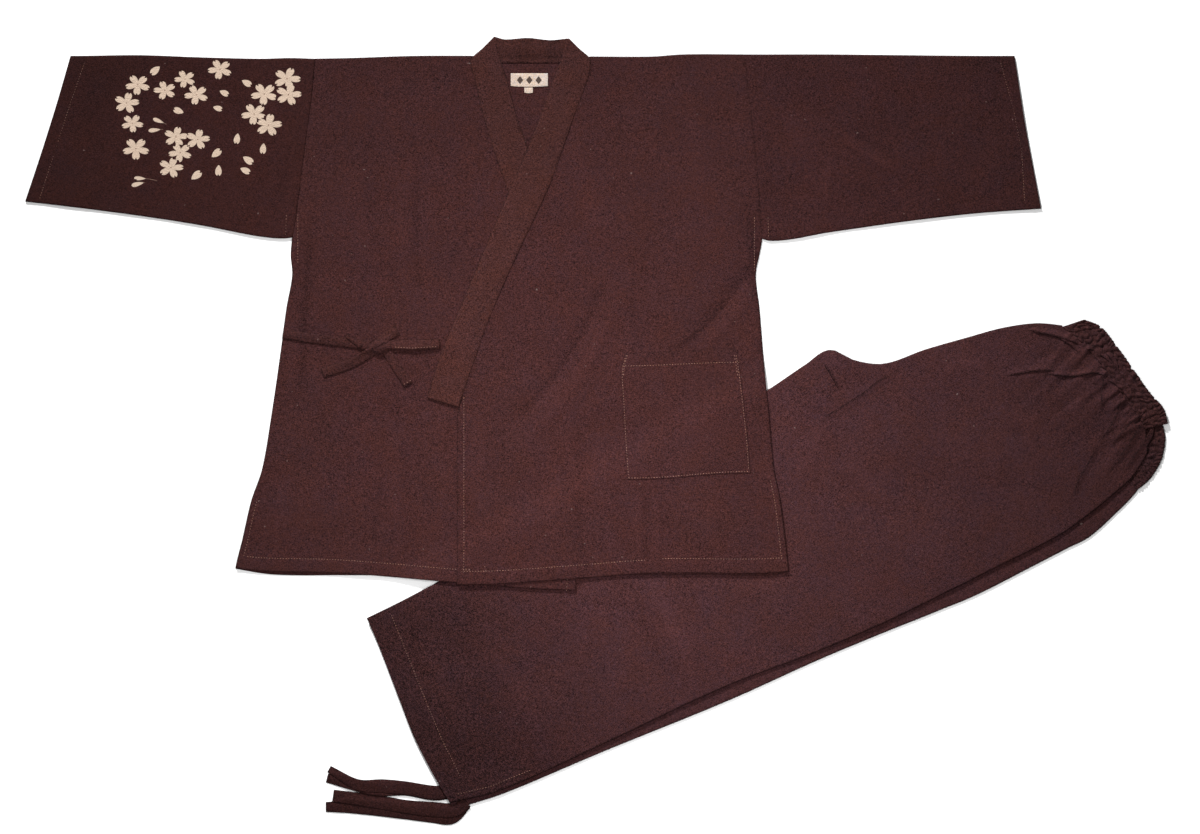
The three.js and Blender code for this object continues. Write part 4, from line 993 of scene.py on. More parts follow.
def front(which, inner, hem_rows, low_of, creases, length, slit_top):
    """A front panel. The left one, on top, has a turned-in edge below the collar."""
    side = lambda d: column(BODY, "down", which, d)
    hem = lambda x: column(hem_rows, "x", "down", x)
    edges = (inner, side) if which == "left" else (side, inner)
    x, down, roll = body_panel(*edges, shoulder, hem, 400, length)
    px, py = in_jacket(x, down)
    low = low_of(px, py)
    off_side, off_inner = np.abs(x - side(down)), np.abs(x - inner(down))
    turned = hem_band(hem(x) - down, JACKET_HEM)
    slit = np.where(down > slit_top, hem_band(off_side, SLIT_HEM, 0.4), 0)
    seam = -0.9 * np.exp(-(off_side / 3.0) ** 2) * (down < slit_top)
    # Painted shading: crease shade and highlight, painted shade lines at the side seam and the inner edge,
    # darker rims
    tone = creased(creases, own_jacket, px, py)[1] + 0.3 * painted_shade_line(off_side, 2) + painted_rim_shade(roll)
    if which == "left":
        edge = np.where(down > COLLAR_END, hem_band(off_inner, FRONT_EDGE_HEM, 0.4), 0)
        tone = tone + 0.55 * painted_shade_line(off_inner, 2.2)
    else:
        edge = -0.5 * np.exp(-(off_side / 2.0) ** 2) * (down < UNDERARM)
        # painted shade in the dent of the hem stitches
        tone = tone + 0.35 * painted_shade_line(off_inner, 2.2) * (down < 480) - 0.5 * (turned < -0.25)
    name = "front_" + which
    piece = sheet_piece(name, px, py, low + WALL + turned + slit + seam + edge, low, roll, tone)
    finish_piece(piece, JACKET_COTTON, name)


def sleeve(name, rows, cuff, sign, side, creases, material, map_of=None):
    """A flattened sleeve from the armhole to the cuff; its underarm is open down to the slit's foot."""
    gap = -0.3 * sign
    length = abs(column(cuff, "down", "x", 100) - column(BODY, "down", side, 100))
    across, along = strip_lines(GRID_STEP, 240), strip_lines(GRID_STEP, float(length))

    def plan(inset):
        down = np.ones((len(across[0]), len(along[0]))) * np.linspace(0, 240, len(across[0]))[:, None]
        x = np.zeros_like(down)
        for _ in range(ROUNDS):
            start = column(BODY, "down", side, np.minimum(down, SLIT_FOOT)) + gap
            end = column(cuff, "down", "x", down)
            x = start + sign * (along[0] + (np.abs(end - start) - 2 * FINE[-1]) * along[1])
            high, low = column(rows, "x", "top", x) + inset, column(rows, "x", "foot", x) - inset
            down = high + across[0][:, None] + (low - high - 2 * FINE[-1]) * across[1][:, None]
        return x, down
    x, down = plan(0)
    x_in, down_in = plan(PLY)
    px, py = in_jacket(x, down)
    high, tone = creased(creases, own_jacket, px, py)
    off_cuff = np.abs(column(cuff, "down", "x", down) - x)
    top = SLEEVE_HIGH + np.maximum(high + swell(px, py, 11 + int(sign), 110, 0.35), -0.7)
    top = top + hem_band(off_cuff, CUFF_HEM, 0.35)
    top = top - 0.6 * np.exp(-(along[0][None, :] + 400 * along[1][None, :]) / 2.0)
    bottom = np.zeros_like(top)
    # The tone is painted shading: crease shade and highlight, and painted shade at the rims
    piece = tube_piece(name, px, py, *in_jacket(x_in, down_in), top, bottom, across[2],
                       tone + painted_rim_shade(across[2])[:, None] + painted_rim_shade(along[2])[None, :], map_of)
    finish_piece(piece, material, name)


# Collar

def collar_strip(rows, low_of, start, end_inner, end_seam):
    """One side of the folded collar band, rounded at its inner fold."""
    lines = strip_lines(GRID_STEP * 0.8, 50)
    ends = strip_lines(GRID_STEP, end_seam - start)
    t = (ends[0] + (end_seam - start - 2 * FINE[-1]) * ends[1]) / (end_seam - start)
    inner_down = start + (end_inner - start) * t
    seam_down = start + (end_seam - start) * t
    inner_x = column(rows, "down", "inner", inner_down)
    seam_x = column(rows, "down", "seam", seam_down)
    share = (lines[0] + 44 * lines[1]) / (44 + 2 * FINE[-1])
    x = inner_x[:, None] + (seam_x - inner_x)[:, None] * share
    down = inner_down[:, None] + (seam_down - inner_down)[:, None] * share
    px, py = in_jacket(x, down)
    low = low_of(px, py)
    from_fold = np.hypot(x - inner_x[:, None], down - inner_down[:, None])
    from_seam = np.hypot(x - seam_x[:, None], down - seam_down[:, None])
    plump = 0.9 * np.sin(np.pi * np.clip(share, 0, 1)) ** 0.5
    top = low + COLLAR_WALL + plump - 0.8 * np.exp(-from_seam / 1.0) - 0.4 * np.exp(-from_fold / 1.2)
    high, tone = creased(COLLAR_CREASES, own_jacket, px, py)
    top = top + high + swell(px, py, 21, 70, 0.15)
    roll = np.maximum(ends[2][:, None], lines[2][None, :])
    # Painted shading: crease shade and highlight, and painted shade lines along the seam and the inner fold
    tone = 1.6 * tone + 0.45 * painted_shade_line(from_seam, 1.5) + 0.5 * painted_shade_line(from_fold, 1.3)
    return px, py, top, low, roll, tone


COLLAR_CREASES = (
    ("trough", -46, -25, -38, 8, 1, 1.2, 2.6), ("trough", 45, -22, 42, 8, -1, 1.2, 2.6),
    ("trough", -12, 150, -24, 176, 1, 0.4, 6), ("ridge", -60, 300, -78, 330, 1, 0.4, 8),
    ("ridge", 60, 60, 40, 120, 2, 0.4, 9), ("trough", -95, 380, -112, 430, 1, 0.4, 7),
)


def collar_neck():
    """The stretch of the band that stands at the back of the neck."""
    lines, rows = strip_lines(GRID_STEP, NECK_LONG), strip_lines(GRID_STEP * 0.6, 34)
    x = NECK_START + spaced(0, NECK_LONG, lines)[None, :] + 0 * rows[0][:, None]
    high = column(NECK_TOP, "x", "down", x)
    down = high + rows[0][:, None] + (NECK_FOOT - high - 2 * FINE[-1]) * rows[1][:, None]
    px, py = in_jacket(x, down)
    low = collar_low(px, py) - 0.3
    top = low + COLLAR_WALL - 0.2 - 0.4 * np.cos(down / 4.2) - 1.1 * smooth((down - NECK_FOOT + 14) / 14)
    # painted shade over the inside of the band and a painted shadow line across it, with a slight wave of
    # tone
    inside = -0.35 + 0.4 * painted_shade_line(down - NECK_FOOT + 9, 2) + 0.2 * np.sin(x / 7)
    return px, py, top, low, np.maximum(rows[2][:, None], lines[2][None, :]), inside


def collar():
    """The band in three pieces."""
    right = collar_strip(RIGHT_COLLAR, collar_low, RIGHT_COLLAR_START, RIGHT_COLLAR_TIP, COLLAR_END)
    left = collar_strip(LEFT_COLLAR, left_base, LEFT_COLLAR_START, LEFT_COLLAR_TIP, COLLAR_END - 1)
    for name, form, size in (
            ("collar_right", right, (0.052, 0.52)), ("collar_left", left, (0.053, 0.52)),
            ("collar_neck", collar_neck(), (0.104, 0.036))):
        *grid, roll, tone = form
        # darker rims: painted shade
        piece = sheet_piece(name, *grid, roll, tone + painted_rim_shade(roll))
        finish_piece(piece, COLLAR_COTTON, "collar")


# Things on the jacket

def pocket_top(x):
    return 413 - 5 * smooth((x - 133) / 157)


def pocket_foot(x):
    return 590 - 9 * smooth((x - 150) / 150)


def pocket_near(down):
    return column(POCKET, "down", "near", down)


def pocket_far(down):
    return column(POCKET, "down", "far", down)


def pocket_rise(x, down):
    """How far the mouth stands off the front, and how far the pocket rises above it in all."""
    off = np.minimum(np.minimum(x - pocket_near(down), pocket_far(down) - x), pocket_foot(x) - down)
    mouth = down - pocket_top(x)
    pressed = -0.45 * np.exp(-((off - 2.2) / 1.4) ** 2) - 0.25 * np.exp(-off / 2)
    lift = 0.9 * np.exp(-mouth / 12) * smooth(off / 30)
    return lift, pressed + lift + hem_band(mouth, POCKET_HEM, 0.35)


def pocket():
    x, down, roll = body_panel(pocket_near, pocket_far, pocket_top, pocket_foot, 168, 172)
    px, py = in_jacket(x, down)
    low = left_low(px, py) + WALL + 0.12
    lift, high = pocket_rise(x, down)
    # painted shade at the rims and a painted shadow line at the mouth
    tone = painted_rim_shade(roll) + 0.5 * painted_shade_line(down - pocket_top(x), 2.5)
    piece = sheet_piece("pocket", px, py, low + 0.95 + high, low + lift * 0.6, roll, tone)
    finish_piece(piece, JACKET_COTTON, "pocket")


def label_patch(name, at, size, material, thick):
    x, down, roll = body_panel(
        lambda d: at[0] - size[0] / 2 + 0 * d, lambda d: at[0] + size[0] / 2 + 0 * d,
        lambda x: at[1] - size[1] / 2 + 0 * x,
        lambda x: at[1] + size[1] / 2 - 1.2 * ((x - at[0]) / size[0] * 2) ** 2, size[0], size[1], 1.6)
    px, py = in_jacket(x, down)
    low = back_low(px, py) + WALL + 0.25
    top = low + thick + 0.25 * np.sin((x - at[0]) / 9) * np.sin((down - at[1]) / 5)
    piece = sheet_piece(name, px, py, top, low, roll, 0 * roll)
    finish_piece(piece, material, name)


# Ties: strips on a short table of places

def strip_piece(name, points, width, low_of, wall, material, node, puff, tilt=None):
    """A flat folded strip along a soft line through the points; tilt lifts one of its edges."""
    pts = np.array(points, float)
    wide = np.broadcast_to(width, (len(pts),))
    rows = table("at x y wide", *[(i, *q, w) for i, (q, w) in enumerate(zip(pts, wide))])
    length = float(sum(np.hypot(*(pts[1:] - pts[:-1]).T)))
    count = int(length / STRIP_STEP)
    t = np.linspace(0, len(pts) - 1, count)
    cx, cy, here = (column(rows, "at", key, t) for key in ("x", "y", "wide"))
    dx, dy = np.gradient(cx), np.gradient(cy)
    long = np.hypot(dx, dy)
    nx, ny = -dy / long * here / wide.max(), dx / long * here / wide.max()
    lines = strip_lines(STRIP_STEP if wide.max() > 8 else 0.8, wide.max())
    off = spaced(-wide.max() / 2, wide.max() / 2, lines)
    x = cx[:, None] + nx[:, None] * off
    y = cy[:, None] + ny[:, None] * off
    low = low_of(x, y)
    share = off / wide.max() * 2
    if tilt:
        low = low + tilt(t[:, None] / (len(pts) - 1), share[None, :])
    wavy = 0.25 * puff * np.sin(t[:, None] * 7 + share[None, :] * 2) * np.sin(t[:, None] * 3.1)
    top = low + wall + puff * (1 - share ** 2) + wavy
    roll = np.maximum(end_roll(count)[:, None], lines[2][None, :])
    # darker rims: painted shade
    piece = sheet_piece(name, x, y, top, low, roll, painted_rim_shade(roll, -1.1))
    finish_piece(piece, material, node)


def on_right_front(x, y):
    return right_low(x, y) + WALL + 0.15


KNOT_AT = (-211, 404)
TIES = {
    "tie_side": ((-346, 386), (-300, 393), (-222, 403)),
    "tie_side_end": ((-204, 404), (-187, 432), (-170, 458)),
    "tie_front": ((-204, 400), (-165, 402), (-126, 400)),
    "tie_front_bow": ((-208, 402), (-240, 422), (-262, 432), (-291, 441)),
    "tie_front_end": ((-214, 403), (-199, 389), (-185, 381)),
}
TIE_WIDTH = 14


def ring_round(points, wide):
    """Outline of a strip along a line of places."""
    d = np.gradient(points, axis=0)
    normal = np.stack([-d[:, 1], d[:, 0]], -1) / np.hypot(d[:, 0], d[:, 1])[:, None] * wide / 2
    return np.concatenate([points + normal, (points - normal)[::-1]])


def heaped(base, rings, rise, out, ramp):
    """A surface that is raised where other strips lie on it."""
    def low_of(x, y):
        total = base(x, y)
        for ring in rings:
            total = total + rise * cover(ring, out, ramp)(x, y)
        return total
    return low_of


# How the edges of the front tie and its bow stand up, by share along and share across
TIE_TILTS = {
    "tie_front": lambda t, s: 2.6 * smooth((0.6 - s) / 1.4) * np.sin(np.pi * np.clip(t, 0.08, 0.95)) ** 0.6,
    "tie_front_bow": lambda t, s: 2.2 * smooth((0.3 - s) / 1.2) * smooth(1.2 - t),
}


def jacket_ties():
    """The runs of both ties, each over the ones before it, and a small loop behind the knot."""
    below = []
    for name, points in TIES.items():
        placed = np.stack(in_jacket(*np.array(points, float).T), -1)
        low_of = heaped(on_right_front, below, TIE_WALL + 0.1, 0.5, 5)
        strip_piece(name, placed, TIE_WIDTH, low_of, TIE_WALL + 0.1, TIE_COTTON, name, 0.9,
                    TIE_TILTS.get(name))
        below.append(ring_round(placed, TIE_WIDTH))
    loop = np.stack(in_jacket((-257, -247, -236), (389, 397, 405)), -1)
    strip_piece("tie_loop", loop, 6, lambda x, y: on_right_front(x, y) + TIE_WALL + 0.6, 1.2, TIE_COTTON,
                None, 0.9)


def knot():
    """The knot: two bands wound round each other, as one lump with a groove."""
    n, m = 22, 36
    a = np.linspace(0.02, math.pi - 0.02, n)[:, None]
    b = np.linspace(0, 2 * math.pi, m, endpoint=False)[None, :]
    groove = 1 - 0.16 * np.exp(-((np.sin(b - 0.6) * np.sin(a)) / 0.16) ** 2)
    pucker = 1 + 0.05 * np.sin(5 * b + 3 * a)
    cx, cy = in_jacket(*KNOT_AT)
    base = float(on_right_front(np.array([cx]), np.array([cy]))[0])
    x = cx + 14.5 * groove * pucker * np.sin(a) * np.cos(b)
    y = cy + 9.5 * groove * pucker * np.sin(a) * np.sin(b)
    z = np.maximum(base + 3.0 + 4.4 * np.cos(a) * groove + 0 * b, base)
    verts = np.stack(np.broadcast_arrays(x, y, z), -1).reshape(-1, 3)
    poles = np.stack([verts[:m].mean(0), verts[-m:].mean(0)])
    faces = grid_quads(n, m, wrap=True).tolist()
    last = (n - 1) * m
    faces += [(n * m, (k + 1) % m, k) for k in range(m)]
    faces += [(n * m + 1, last + k, last + (k + 1) % m) for k in range(m)]
    mesh = bpy.data.meshes.new("tie_knot_cloth")
    mesh.from_pydata((np.concatenate([verts, poles]) * MM).tolist(), [], faces)
    mesh.polygons.foreach_set("use_smooth", [True] * len(mesh.polygons))
    # painted shade in the groove and over the lower half of the knot
    shade = np.broadcast_to(5 * (groove - 1), (n, m)) - 0.5 * (np.cos(a) < 0.1)
    paint_tone(mesh, np.append(shade.ravel(), [0, 0]))
    piece = put_object("tie_knot_cloth", mesh)
    make_outward(piece)
    finish_piece(piece, TIE_COTTON, "tie_knot")


def make_outward(piece):
    """Turns every face of a closed piece outwards."""
    work = bmesh.new()
    work.from_mesh(piece.data)
    bmesh.ops.recalc_face_normals(work, faces=work.faces)
    work.to_mesh(piece.data)
    work.free()


# Trousers

def waist_end(rows, corner, out):
    """Along the leg, where the waist seam is for a place across it."""
    across = np.append(rows["seam_out"], corner[1])
    along = np.append(rows["seam_along"], corner[0])
    order = np.argsort(across)
    return np.interp(out, across[order], along[order])


# Sharp folds of the upper leg: height, width (minus turns the steep side up), then places (along, out)
LEG_FOLDS = (
    (2.4, 10, (1004, 112), (1013, 103), (1028, 92), (1046, 76), (1068, 52)),
    (1.6, 8, (1030, 95), (1037, 82), (1047, 66), (1056, 44)),
    (1.8, 11, (944, 68), (973, 60), (996, 52), (1016, 41)),
    (2.4, 10, (994, 49), (1028, 28), (1061, 17), (1075, 3)),
    (1.7, 7, (1065, 16), (1067, 3), (1057, -12), (1050, -28), (1038, -38)),
    (1.7, 8, (1080, -28), (1066, -45), (1042, -66)),
    (1.8, 9, (1034, -64), (1005, -88), (983, -103), (967, -117), (954, -136)),
    (1.8, 8, (1098, -62), (1068, -70), (1032, -87)),
    (2.4, 9, (1105, -72), (1081, -81), (1055, -97), (1014, -118)),
    (2.0, 8, (1101, -86), (1083, -98), (1062, -111), (1030, -128)),
    (1.4, 7, (1064, -54), (1042, -63), (1022, -77)),
    (1.3, 12, (724, 196), (727, 171), (728, 144)),
    (1.2, 12, (820, 138), (785, 137), (751, 130), (715, 126), (665, 120)),
    (1.3, 6, (1062, 55), (1076, 42), (1088, 18)), (1.2, 6, (1086, 40), (1090, 20), (1086, 0)),
    (1.2, 6, (1072, 2), (1083, -16), (1089, -40)),
)


def ankle(out):
    """Along the leg, where the ankle hem is for a place across it."""
    return column(ANKLE_HEM, "out", "along", np.clip(out, -170, 160))


def leg(name, rows, waist, corner, low_of, fine, step_out):
    """A folded trouser leg as a flattened tube, open at the ankle and at the waist seam."""
    n_plain, n_near = (112, 84) if fine else (50, 24)
    share = np.concatenate([np.linspace(0, 0.86, n_plain, endpoint=False), np.linspace(0.86, 1, n_near)])
    share[1], share[2] = 0.0006, 0.002
    across = strip_lines(step_out, 320)

    def plan(inset):
        out = np.linspace(140, -150, len(across[0]))[:, None] * np.ones(len(share))
        along = share[None, :] * 1070 + 0 * out
        for _ in range(ROUNDS + 2):
            inside = column(rows, "along", "inside", np.minimum(along, LEG_TOP)) - inset
            side = column(rows, "along", "side", np.minimum(along, LEG_TOP)) + inset
            out = inside - across[0][:, None] - (inside - side - 2 * FINE[-1]) * across[1][:, None]
            high = waist_end(waist, corner, np.clip(out, corner[1], waist["seam_out"][0])) + SEAM_LAP
            along = ankle(out) + (high - ankle(out)) * share[None, :]
        return along, out
    along, out = plan(0)
    along_in, out_in = plan(PLY)
    px, py = in_legs(along, out)
    bottom = low_of(px, py)
    tone = np.zeros_like(px)
    extra = np.zeros_like(px)
    if fine:
        # Painted shading: crease shade and highlight, lighter on the crests of the gathers and darker between
        # them
        tone = creased(LEG_CREASES, own_legs, px, py)[1] + 0.12 * gathers(along, out)
        # painted shade of light falling off: darker towards the ankle hem
        tone = tone - 1.2 * smooth(1 - along / 330)
        extra = hem_band(along - ankle(out), LEG_HEM, 0.45)
    top = bottom + LEG_WALL + extra
    folds = fold_parts(LEG_FOLDS, in_legs, lambda x, y: low_of(x, y) + LEG_WALL) if fine else ()
    piece = tube_piece(name, px, py, *in_legs(along_in, out_in), top, bottom, across[2],
                       tone + painted_rim_shade(across[2])[:, None], more=folds)
    finish_piece(piece, LEG_COTTON, name)


def puffs(rng, place, length, pitch):
    """Heights along a shirred row: uneven round puffs with sharp valleys between them."""
    cells = np.cumsum(rng.uniform(0.6, 1.5, int(length / pitch * 1.6)) * pitch)
    after = np.searchsorted(cells, place)
    before = np.concatenate([[0], cells])[after]
    size = rng.uniform(0.55, 1.1, len(cells) + 1)[after]
    return size * np.sin(np.pi * np.clip((place - before) / (cells[after] - before), 0.001, 0.999)) ** 0.65


# Notches in the scalloped rim: place along it, depth
WAIST_NOTCHES = ((39, 2.4), (78, 1.2), (117, 2.6), (170, 1.4))


def waistband(name, rows, low, seed, length, tall):
    """Elastic casing: rows of uneven puffs between the channels of the elastic, scalloped at its rim."""
    n, m = ((460, 29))
    t = np.linspace(0, len(rows["at"]) - 1, n)
    s = np.linspace(0, 1, m)
    place = t / t[-1] * length
    seam = np.stack([column(rows, "at", "seam_along", t), column(rows, "at", "seam_out", t)], -1)
    rim = np.stack([column(rows, "at", "edge_along", t), column(rows, "at", "edge_out", t)], -1)
    rng = np.random.default_rng(seed)
    wave = np.zeros((n, m))
    for middle, reach_s, pitch in ((0.0, 0.17, 12), (0.28, 0.2, 14), (0.6, 0.2, 12), (0.92, 0.2, 8)):
        weight = np.exp(-((s - middle) / reach_s) ** 4)
        slant = place[:, None] + 14 * (s[None, :] - middle) * np.sin(place[:, None] / 23 + middle * 9 + seed)
        slant = slant + 2.2 * np.sin(s[None, :] * 17 + place[:, None] / 11 + middle * 5)
        wave = np.maximum(wave, puffs(rng, np.clip(slant, 0, length), length, pitch) * weight[None, :])
    channel = sum(np.exp(-((s - at) / 0.03) ** 2) for at in (0.15, 0.46, 0.78))
    rim_cells = puffs(rng, place, length, 4.8)
    notch = sum(deep * np.exp(-((place - at) / 2.2) ** 2) for at, deep in WAIST_NOTCHES)
    push = (0.9 * rim_cells - 0.7 - (notch if low > 0 else 0.4 * notch))[:, None] * smooth((s - 0.8) / 0.2)
    along = seam[:, 0:1] + (rim - seam)[:, 0:1] * s + push
    out = seam[:, 1:2] + (rim - seam)[:, 1:2] * s
    px, py = in_legs(along, out)
    wave = wave + 0.22 * swell(px, py, seed + 40, 9, 1.0) + 0.16 * swell(px, py, seed + 50, 17, 1.0)
    bottom = low + 0 * px
    top = bottom + LEG_WALL - 0.4 + tall * wave - 0.45 * channel[None, :]
    roll = np.maximum(end_roll(n)[:, None], end_roll(m)[None, :])
    # Painted shading: lighter on the puffs, darker in the channels, darker rims
    tone = 0.6 * (wave - 0.62) - 0.4 * channel[None, :] + painted_rim_shade(roll)
    piece = sheet_piece(name, px, py, top, bottom, roll, tone)
    finish_piece(piece, WAIST_COTTON, name)


ANKLE_TIES = {
    "ankle_tie_lower_2": ((8, -149, 15), (-19, -157, 19), (-44, -143, 19), (-75, -123, 19), (-137, -85, 18),
                          (-172, -68, 14)),
    "ankle_tie_lower_1": ((10, -146, 17), (-12, -149, 20), (-41, -134, 21), (-72, -115, 19), (-106, -91, 19),
                          (-156, -58, 17)),
    "ankle_tie_upper_2": ((4, -126, 19), (-26, -117, 19), (-60, -94, 18), (-98, -76, 18), (-127, -54, 15),
                          (-153, -32, 13)),
    "ankle_tie_upper_1": ((4, -124, 19), (-24, -116, 19), (-60, -92, 19), (-87, -76, 19), (-119, -58, 15),
                          (-145, -22, 10)),
}


def ankle_ties():
    below = []
    for name, points in ANKLE_TIES.items():
        along, out, wide = np.array(points, float).T
        placed = np.stack(in_legs(along, out), -1)
        low_of = heaped(lambda x, y: 0 * x, below, TIE_WALL + 0.2, 0.8, 6)
        strip_piece(name, placed, wide, low_of, TIE_WALL - 0.3, ANKLE_COTTON, name, 0.8)
        below.append(ring_round(placed, wide[:, None]))


# Stitches

def on_left_front(x, y):
    return left_low(x, y) + WALL


def stitch_paths():
    """Lines of sewing: places in the part's frame, and the surface that each line lies on."""
    right = lambda x, y: right_low(x, y) + WALL
    sleeve_top = lambda x, y: SLEEVE_HIGH + 0 * x
    hem_top = lambda x, y: upper_leg_low(x, y) + LEG_WALL + 0.4
    at = lambda x, down: np.stack(np.broadcast_arrays(*in_jacket(x, down)), -1)
    seam = lambda rows, name, shift, d: at(column(rows, "down", name, d) + shift, d)
    hem = lambda rows, rise, x: at(x, column(rows, "x", "down", x) - rise)
    jacket = lambda *pts: at(*np.array(pts, float).T)
    legs = lambda *pts: np.stack(in_legs(*np.array(pts, float).T), -1)
    dp = np.linspace(417, 587, 14)
    xp, xm = np.linspace(139, 304, 14), np.linspace(130, 292, 14)
    return (
        (hem(RIGHT_HEM, JACKET_HEM - 2.5, np.linspace(-395, -104, 30)), right),
        (hem(LEFT_HEM, JACKET_HEM - 2.5, np.linspace(-99, 160, 24)), on_left_front),
        (hem(LEFT_HEM, 20, np.linspace(186, 352, 16)), on_left_front),
        (seam(BODY, "left", -8, np.linspace(592, 712, 10)), on_left_front),
        (seam(BODY, "right", 8, np.linspace(622, 700, 8)), right),
        (at(-92.5, np.linspace(476, 735, 22)), on_left_front),
        (seam(POCKET, "near", 2.2, dp), on_pocket), (seam(POCKET, "far", -2.2, dp[:-1]), on_pocket),
        (at(xp, pocket_foot(xp) - 2.2), on_pocket), (at(xm, pocket_top(xm) + 18), on_pocket),
        (seam(POCKET, "near", 3.9, dp[:3]), on_pocket), (seam(POCKET, "far", -4.6, dp[:3]), on_pocket),
        (jacket((-325, 220), (-325, 286)), right), (jacket((-341, 221), (-342, 247)), sleeve_top),
        (jacket((314, 224), (314, 297)), on_left_front), (jacket((333, 224), (334, 249)), sleeve_top),
        (jacket((-192, 404.5), (-165, 406.2), (-132, 404)), on_front_tie),
        (jacket((-175.5, 456.5), (-167.5, 451.5)), lambda x, y: on_right_front(x, y) + 3.0),
        (jacket((659, 8), (676, 70), (688, 130), (692, 199)), sleeve_top),
        (jacket((-624, 8), (-644, 66), (-666, 134), (-686, 196)), sleeve_top),
        (jacket((52, 730), (51, 745)), lambda x, y: right(x, y) + 0.8),
        (jacket((-99, 714.6), (-85, 715.4)), on_left_front),
        (jacket((-97, 715.8), (-85, 716.6)), on_left_front),
        (jacket((-63, 712), (-62, 723)), on_left_front),
        (legs((27, 134), (22.6, 67), (17.7, -8), (15.6, -63), (16.6, -85), (16.4, -109)), hem_top),
        (legs((4, -131), (17, -134), (48, -141), (85, -143), (108, -144.5)), hem_top),
    )


def on_front_tie(x, y):
    px, _ = own_jacket(x, y)
    return on_right_front(x, y) + 2.0 + 2.6 * np.sin(np.pi * np.clip((px + 204) / 78, 0.08, 0.95)) ** 0.6


def on_pocket(x, y):
    px, down = own_jacket(x, y)
    return left_low(x, y) + WALL + 1.07 + pocket_rise(px, down)[1]


def stitch_tree():
    """Instances a small stitch along every line, a little uneven, and makes one mesh of them."""
    tree, given, out = open_group(
        "stitch_rows", "GeometryNodeTree",
        (("Lines", "Geometry", None), ("Pitch", "Float", 0.0038), ("Length", "Float", 0.0011),
         ("Width", "Float", 0.00034), ("Height", "Float", 0.0003), ("Seed", "Int", 7),
         ("Thread", "Material", None)),
        (("Stitches", "Geometry"),))
    points = new_node(tree, "GeometryNodeCurveToPoints", mode="LENGTH")
    feed(tree, points, {"Curve": given["Lines"], "Length": given["Pitch"]})
    ball = new_node(tree, "GeometryNodeMeshUVSphere", {"Segments": 6, "Rings": 4, "Radius": 1.0})
    size = new_node(tree, "ShaderNodeCombineXYZ", {
        "X": given["Length"], "Y": given["Width"], "Z": given["Height"]})
    stitch = new_node(tree, "GeometryNodeTransform", {
        "Geometry": ball.outputs["Mesh"], "Scale": size.outputs[0]})
    aim = new_node(tree, "FunctionNodeAlignRotationToVector", {"Vector": points.outputs["Tangent"]}, axis="X")
    uneven = new_node(tree, "FunctionNodeRandomValue", data_type="FLOAT_VECTOR")
    feed(tree, uneven, {0: (0.75, 0.8, 0.8), 1: (1.15, 1.2, 1.1), "Seed": given["Seed"]})
    place = new_node(tree, "GeometryNodeInstanceOnPoints", {
        "Points": points.outputs["Points"], "Instance": stitch.outputs[0], "Rotation": aim.outputs[0],
        "Scale": uneven.outputs[0]})
    real = new_node(tree, "GeometryNodeRealizeInstances", {0: place.outputs[0]})
    paint = new_node(tree, "GeometryNodeSetMaterial", {
        "Geometry": real.outputs[0], "Material": given["Thread"]})
    feed(tree, out, {0: paint.outputs[0]})
    return tree


def stitches():
    data = bpy.data.curves.new("stitch_lines", "CURVE")
    data.dimensions = "3D"
    for path, surface in stitch_paths():
        steps = np.concatenate([[0], np.cumsum(np.hypot(*(path[1:] - path[:-1]).T))])
        at = np.linspace(0, steps[-1], max(2, int(steps[-1] / 2)))
        x, y = np.interp(at, steps, path[:, 0]), np.interp(at, steps, path[:, 1])
        z = surface(x, y) + 0.12
        spline = data.splines.new("POLY")
        spline.points.add(len(at) - 1)
        flat = np.stack([x * MM, y * MM, z * MM, np.ones(len(at))], -1)
        spline.points.foreach_set("co", flat.ravel())
    lines = put_object("stitch_lines", data)
    tree = stitch_tree()
    sewing = lines.modifiers.new("sewing", "NODES")
    sewing.node_group = tree
    sockets = {item.name: item.identifier for item in tree.interface.items_tree if item.in_out == "INPUT"}
    sewing[sockets["Thread"]] = THREAD
    bpy.context.view_layer.update()
    made = bpy.data.meshes.new_from_object(lines.evaluated_get(bpy.context.evaluated_depsgraph_get()))
    lines.modifiers.clear()
    bpy.data.objects.remove(lines)
    piece = put_object("stitches", made)
    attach(piece, "root")


# Camera, light and floor

CAMERA_HIGH = 7.0
SENSOR = 36
FLOOR_HALF = 14
# The part's middle in the photo, in pixels from its top left corner
PART_AT = (596.5, 429.5)
# Lamps: name, place, aim, power, size
LAMPS = (
    ("window", (-1.9, 5.7, 3.0), (0, 0, 0), 850, 0.8), ("overhead", (0, -0.1, 1.0), (0, -0.1, 0), 7.6, 0.5))
SKY = 0.36


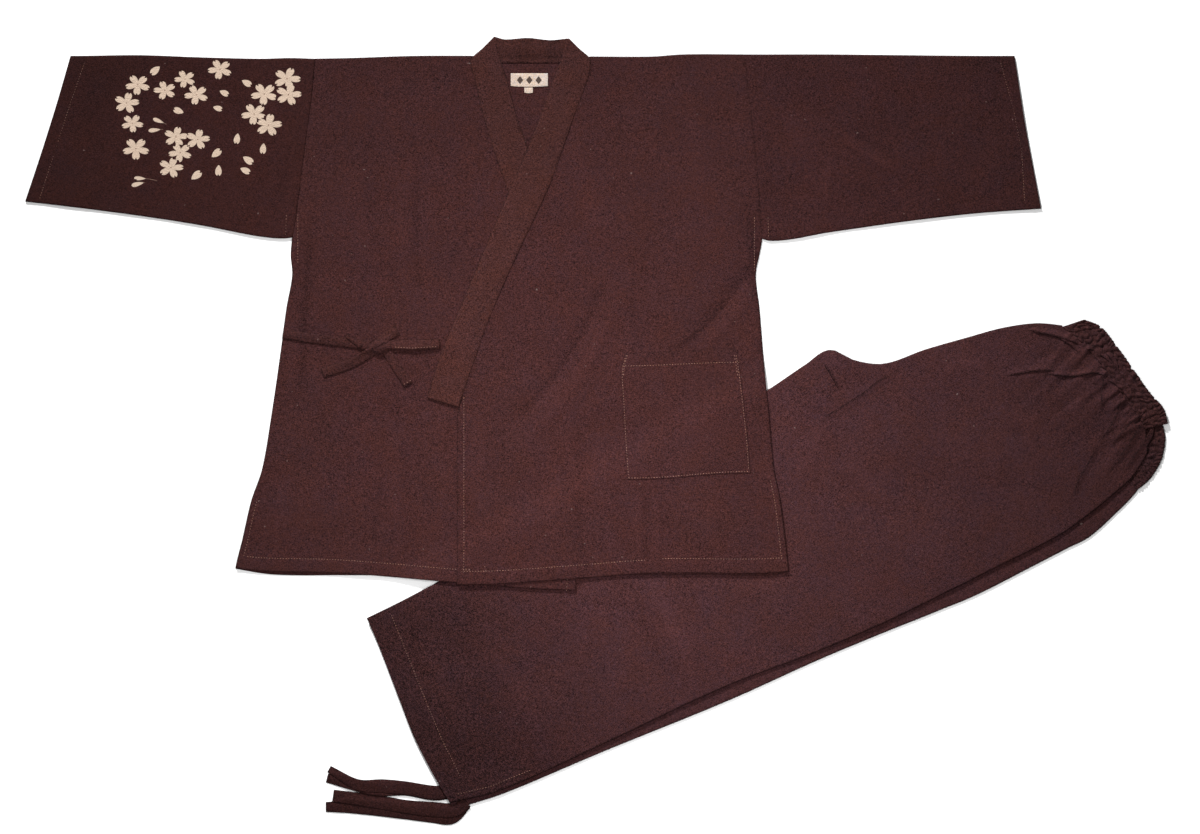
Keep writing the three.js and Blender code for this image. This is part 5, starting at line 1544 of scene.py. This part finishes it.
def studio():
    """Camera straight above the middle of the photo, two lamps, soft light all round, and a pale floor."""
    scene = bpy.context.scene
    centre = Vector(((PHOTO_SIZE[0] / 2 - PART_AT[0]) * PHOTO_MM + SHIFT[0],
                     (PART_AT[1] - PHOTO_SIZE[1] / 2) * PHOTO_MM + SHIFT[1], 0)) * MM
    camera = bpy.data.cameras.new("camera")
    camera.sensor_width = SENSOR
    camera.lens = SENSOR * CAMERA_HIGH / (PHOTO_SIZE[0] * PHOTO_MM * MM)
    camera.clip_end = 100
    scene.camera = put_object("camera", camera)
    scene.camera.location = centre + Vector((0, 0, CAMERA_HIGH))
    ground = bpy.data.meshes.new("floor")
    corners = [(x * FLOOR_HALF, y * FLOOR_HALF, 0) for x, y in ((-1, -1), (1, -1), (1, 1), (-1, 1))]
    ground.from_pydata(corners, [], [(0, 1, 2, 3)])
    floor = put_object("floor", ground)
    floor.location.z = -0.0003
    paper = bpy.data.materials.new("pale_paper")
    paper.use_nodes = True
    feed(paper.node_tree, paper.node_tree.nodes["Principled BSDF"], {
        "Base Color": (0.93, 0.93, 0.93, 1), "Roughness": 0.9, "Specular IOR Level": 0.1})
    ground.materials.append(paper)
    for name, place, aim, power, size in LAMPS:
        light = bpy.data.lights.new(name, "AREA")
        light.energy = power
        light.size = size
        lamp = put_object(name, light)
        lamp.location = place
        lamp.rotation_euler = (Vector(aim) - Vector(place)).to_track_quat("-Z", "Y").to_euler()
        lamp.visible_camera = False
    world = bpy.data.worlds.new("studio")
    scene.world = world
    world.use_nodes = True
    feed(world.node_tree, world.node_tree.nodes["Background"], {0: (1, 1, 1, 1), 1: SKY})
    scene.view_settings.view_transform = "Standard"


studio()
back()
front("right", right_inner, RIGHT_HEM, right_low, RIGHT_FRONT_CREASES, 735, RIGHT_SLIT_TOP)
front("left", left_inner, LEFT_HEM, left_low, LEFT_FRONT_CREASES, 730, LEFT_SLIT_TOP)
sleeve("sleeve_right", RIGHT_SLEEVE, RIGHT_CUFF, -1.0, "right", RIGHT_SLEEVE_CREASES, BLOSSOM_COTTON,
       motif_map)
sleeve("sleeve_left", LEFT_SLEEVE, LEFT_CUFF, 1.0, "left", LEFT_SLEEVE_CREASES, SLEEVE_COTTON)
collar()
pocket()
label_patch("label", LABEL_AT, LABEL_SIZE, LABEL_RIBBON, 0.7)
label_patch("label_tab", TAB_AT, TAB_SIZE, TAB_RIBBON, 0.6)
jacket_ties()
knot()
leg("leg_lower", LOWER_LEG, LOWER_WAIST, LOWER_CORNER, lambda x, y: 0 * x, False, 7.0)
leg("leg_upper", UPPER_LEG, UPPER_WAIST, UPPER_CORNER, upper_leg_low, True, 3.0)
waistband("waistband_lower", LOWER_WAIST, 0.0, 2, 290, 1.8)
waistband("waistband_upper", UPPER_WAIST, LEG_WALL + GAP + 0.3, 4, 235, 2.2)
ankle_ties()
stitches()
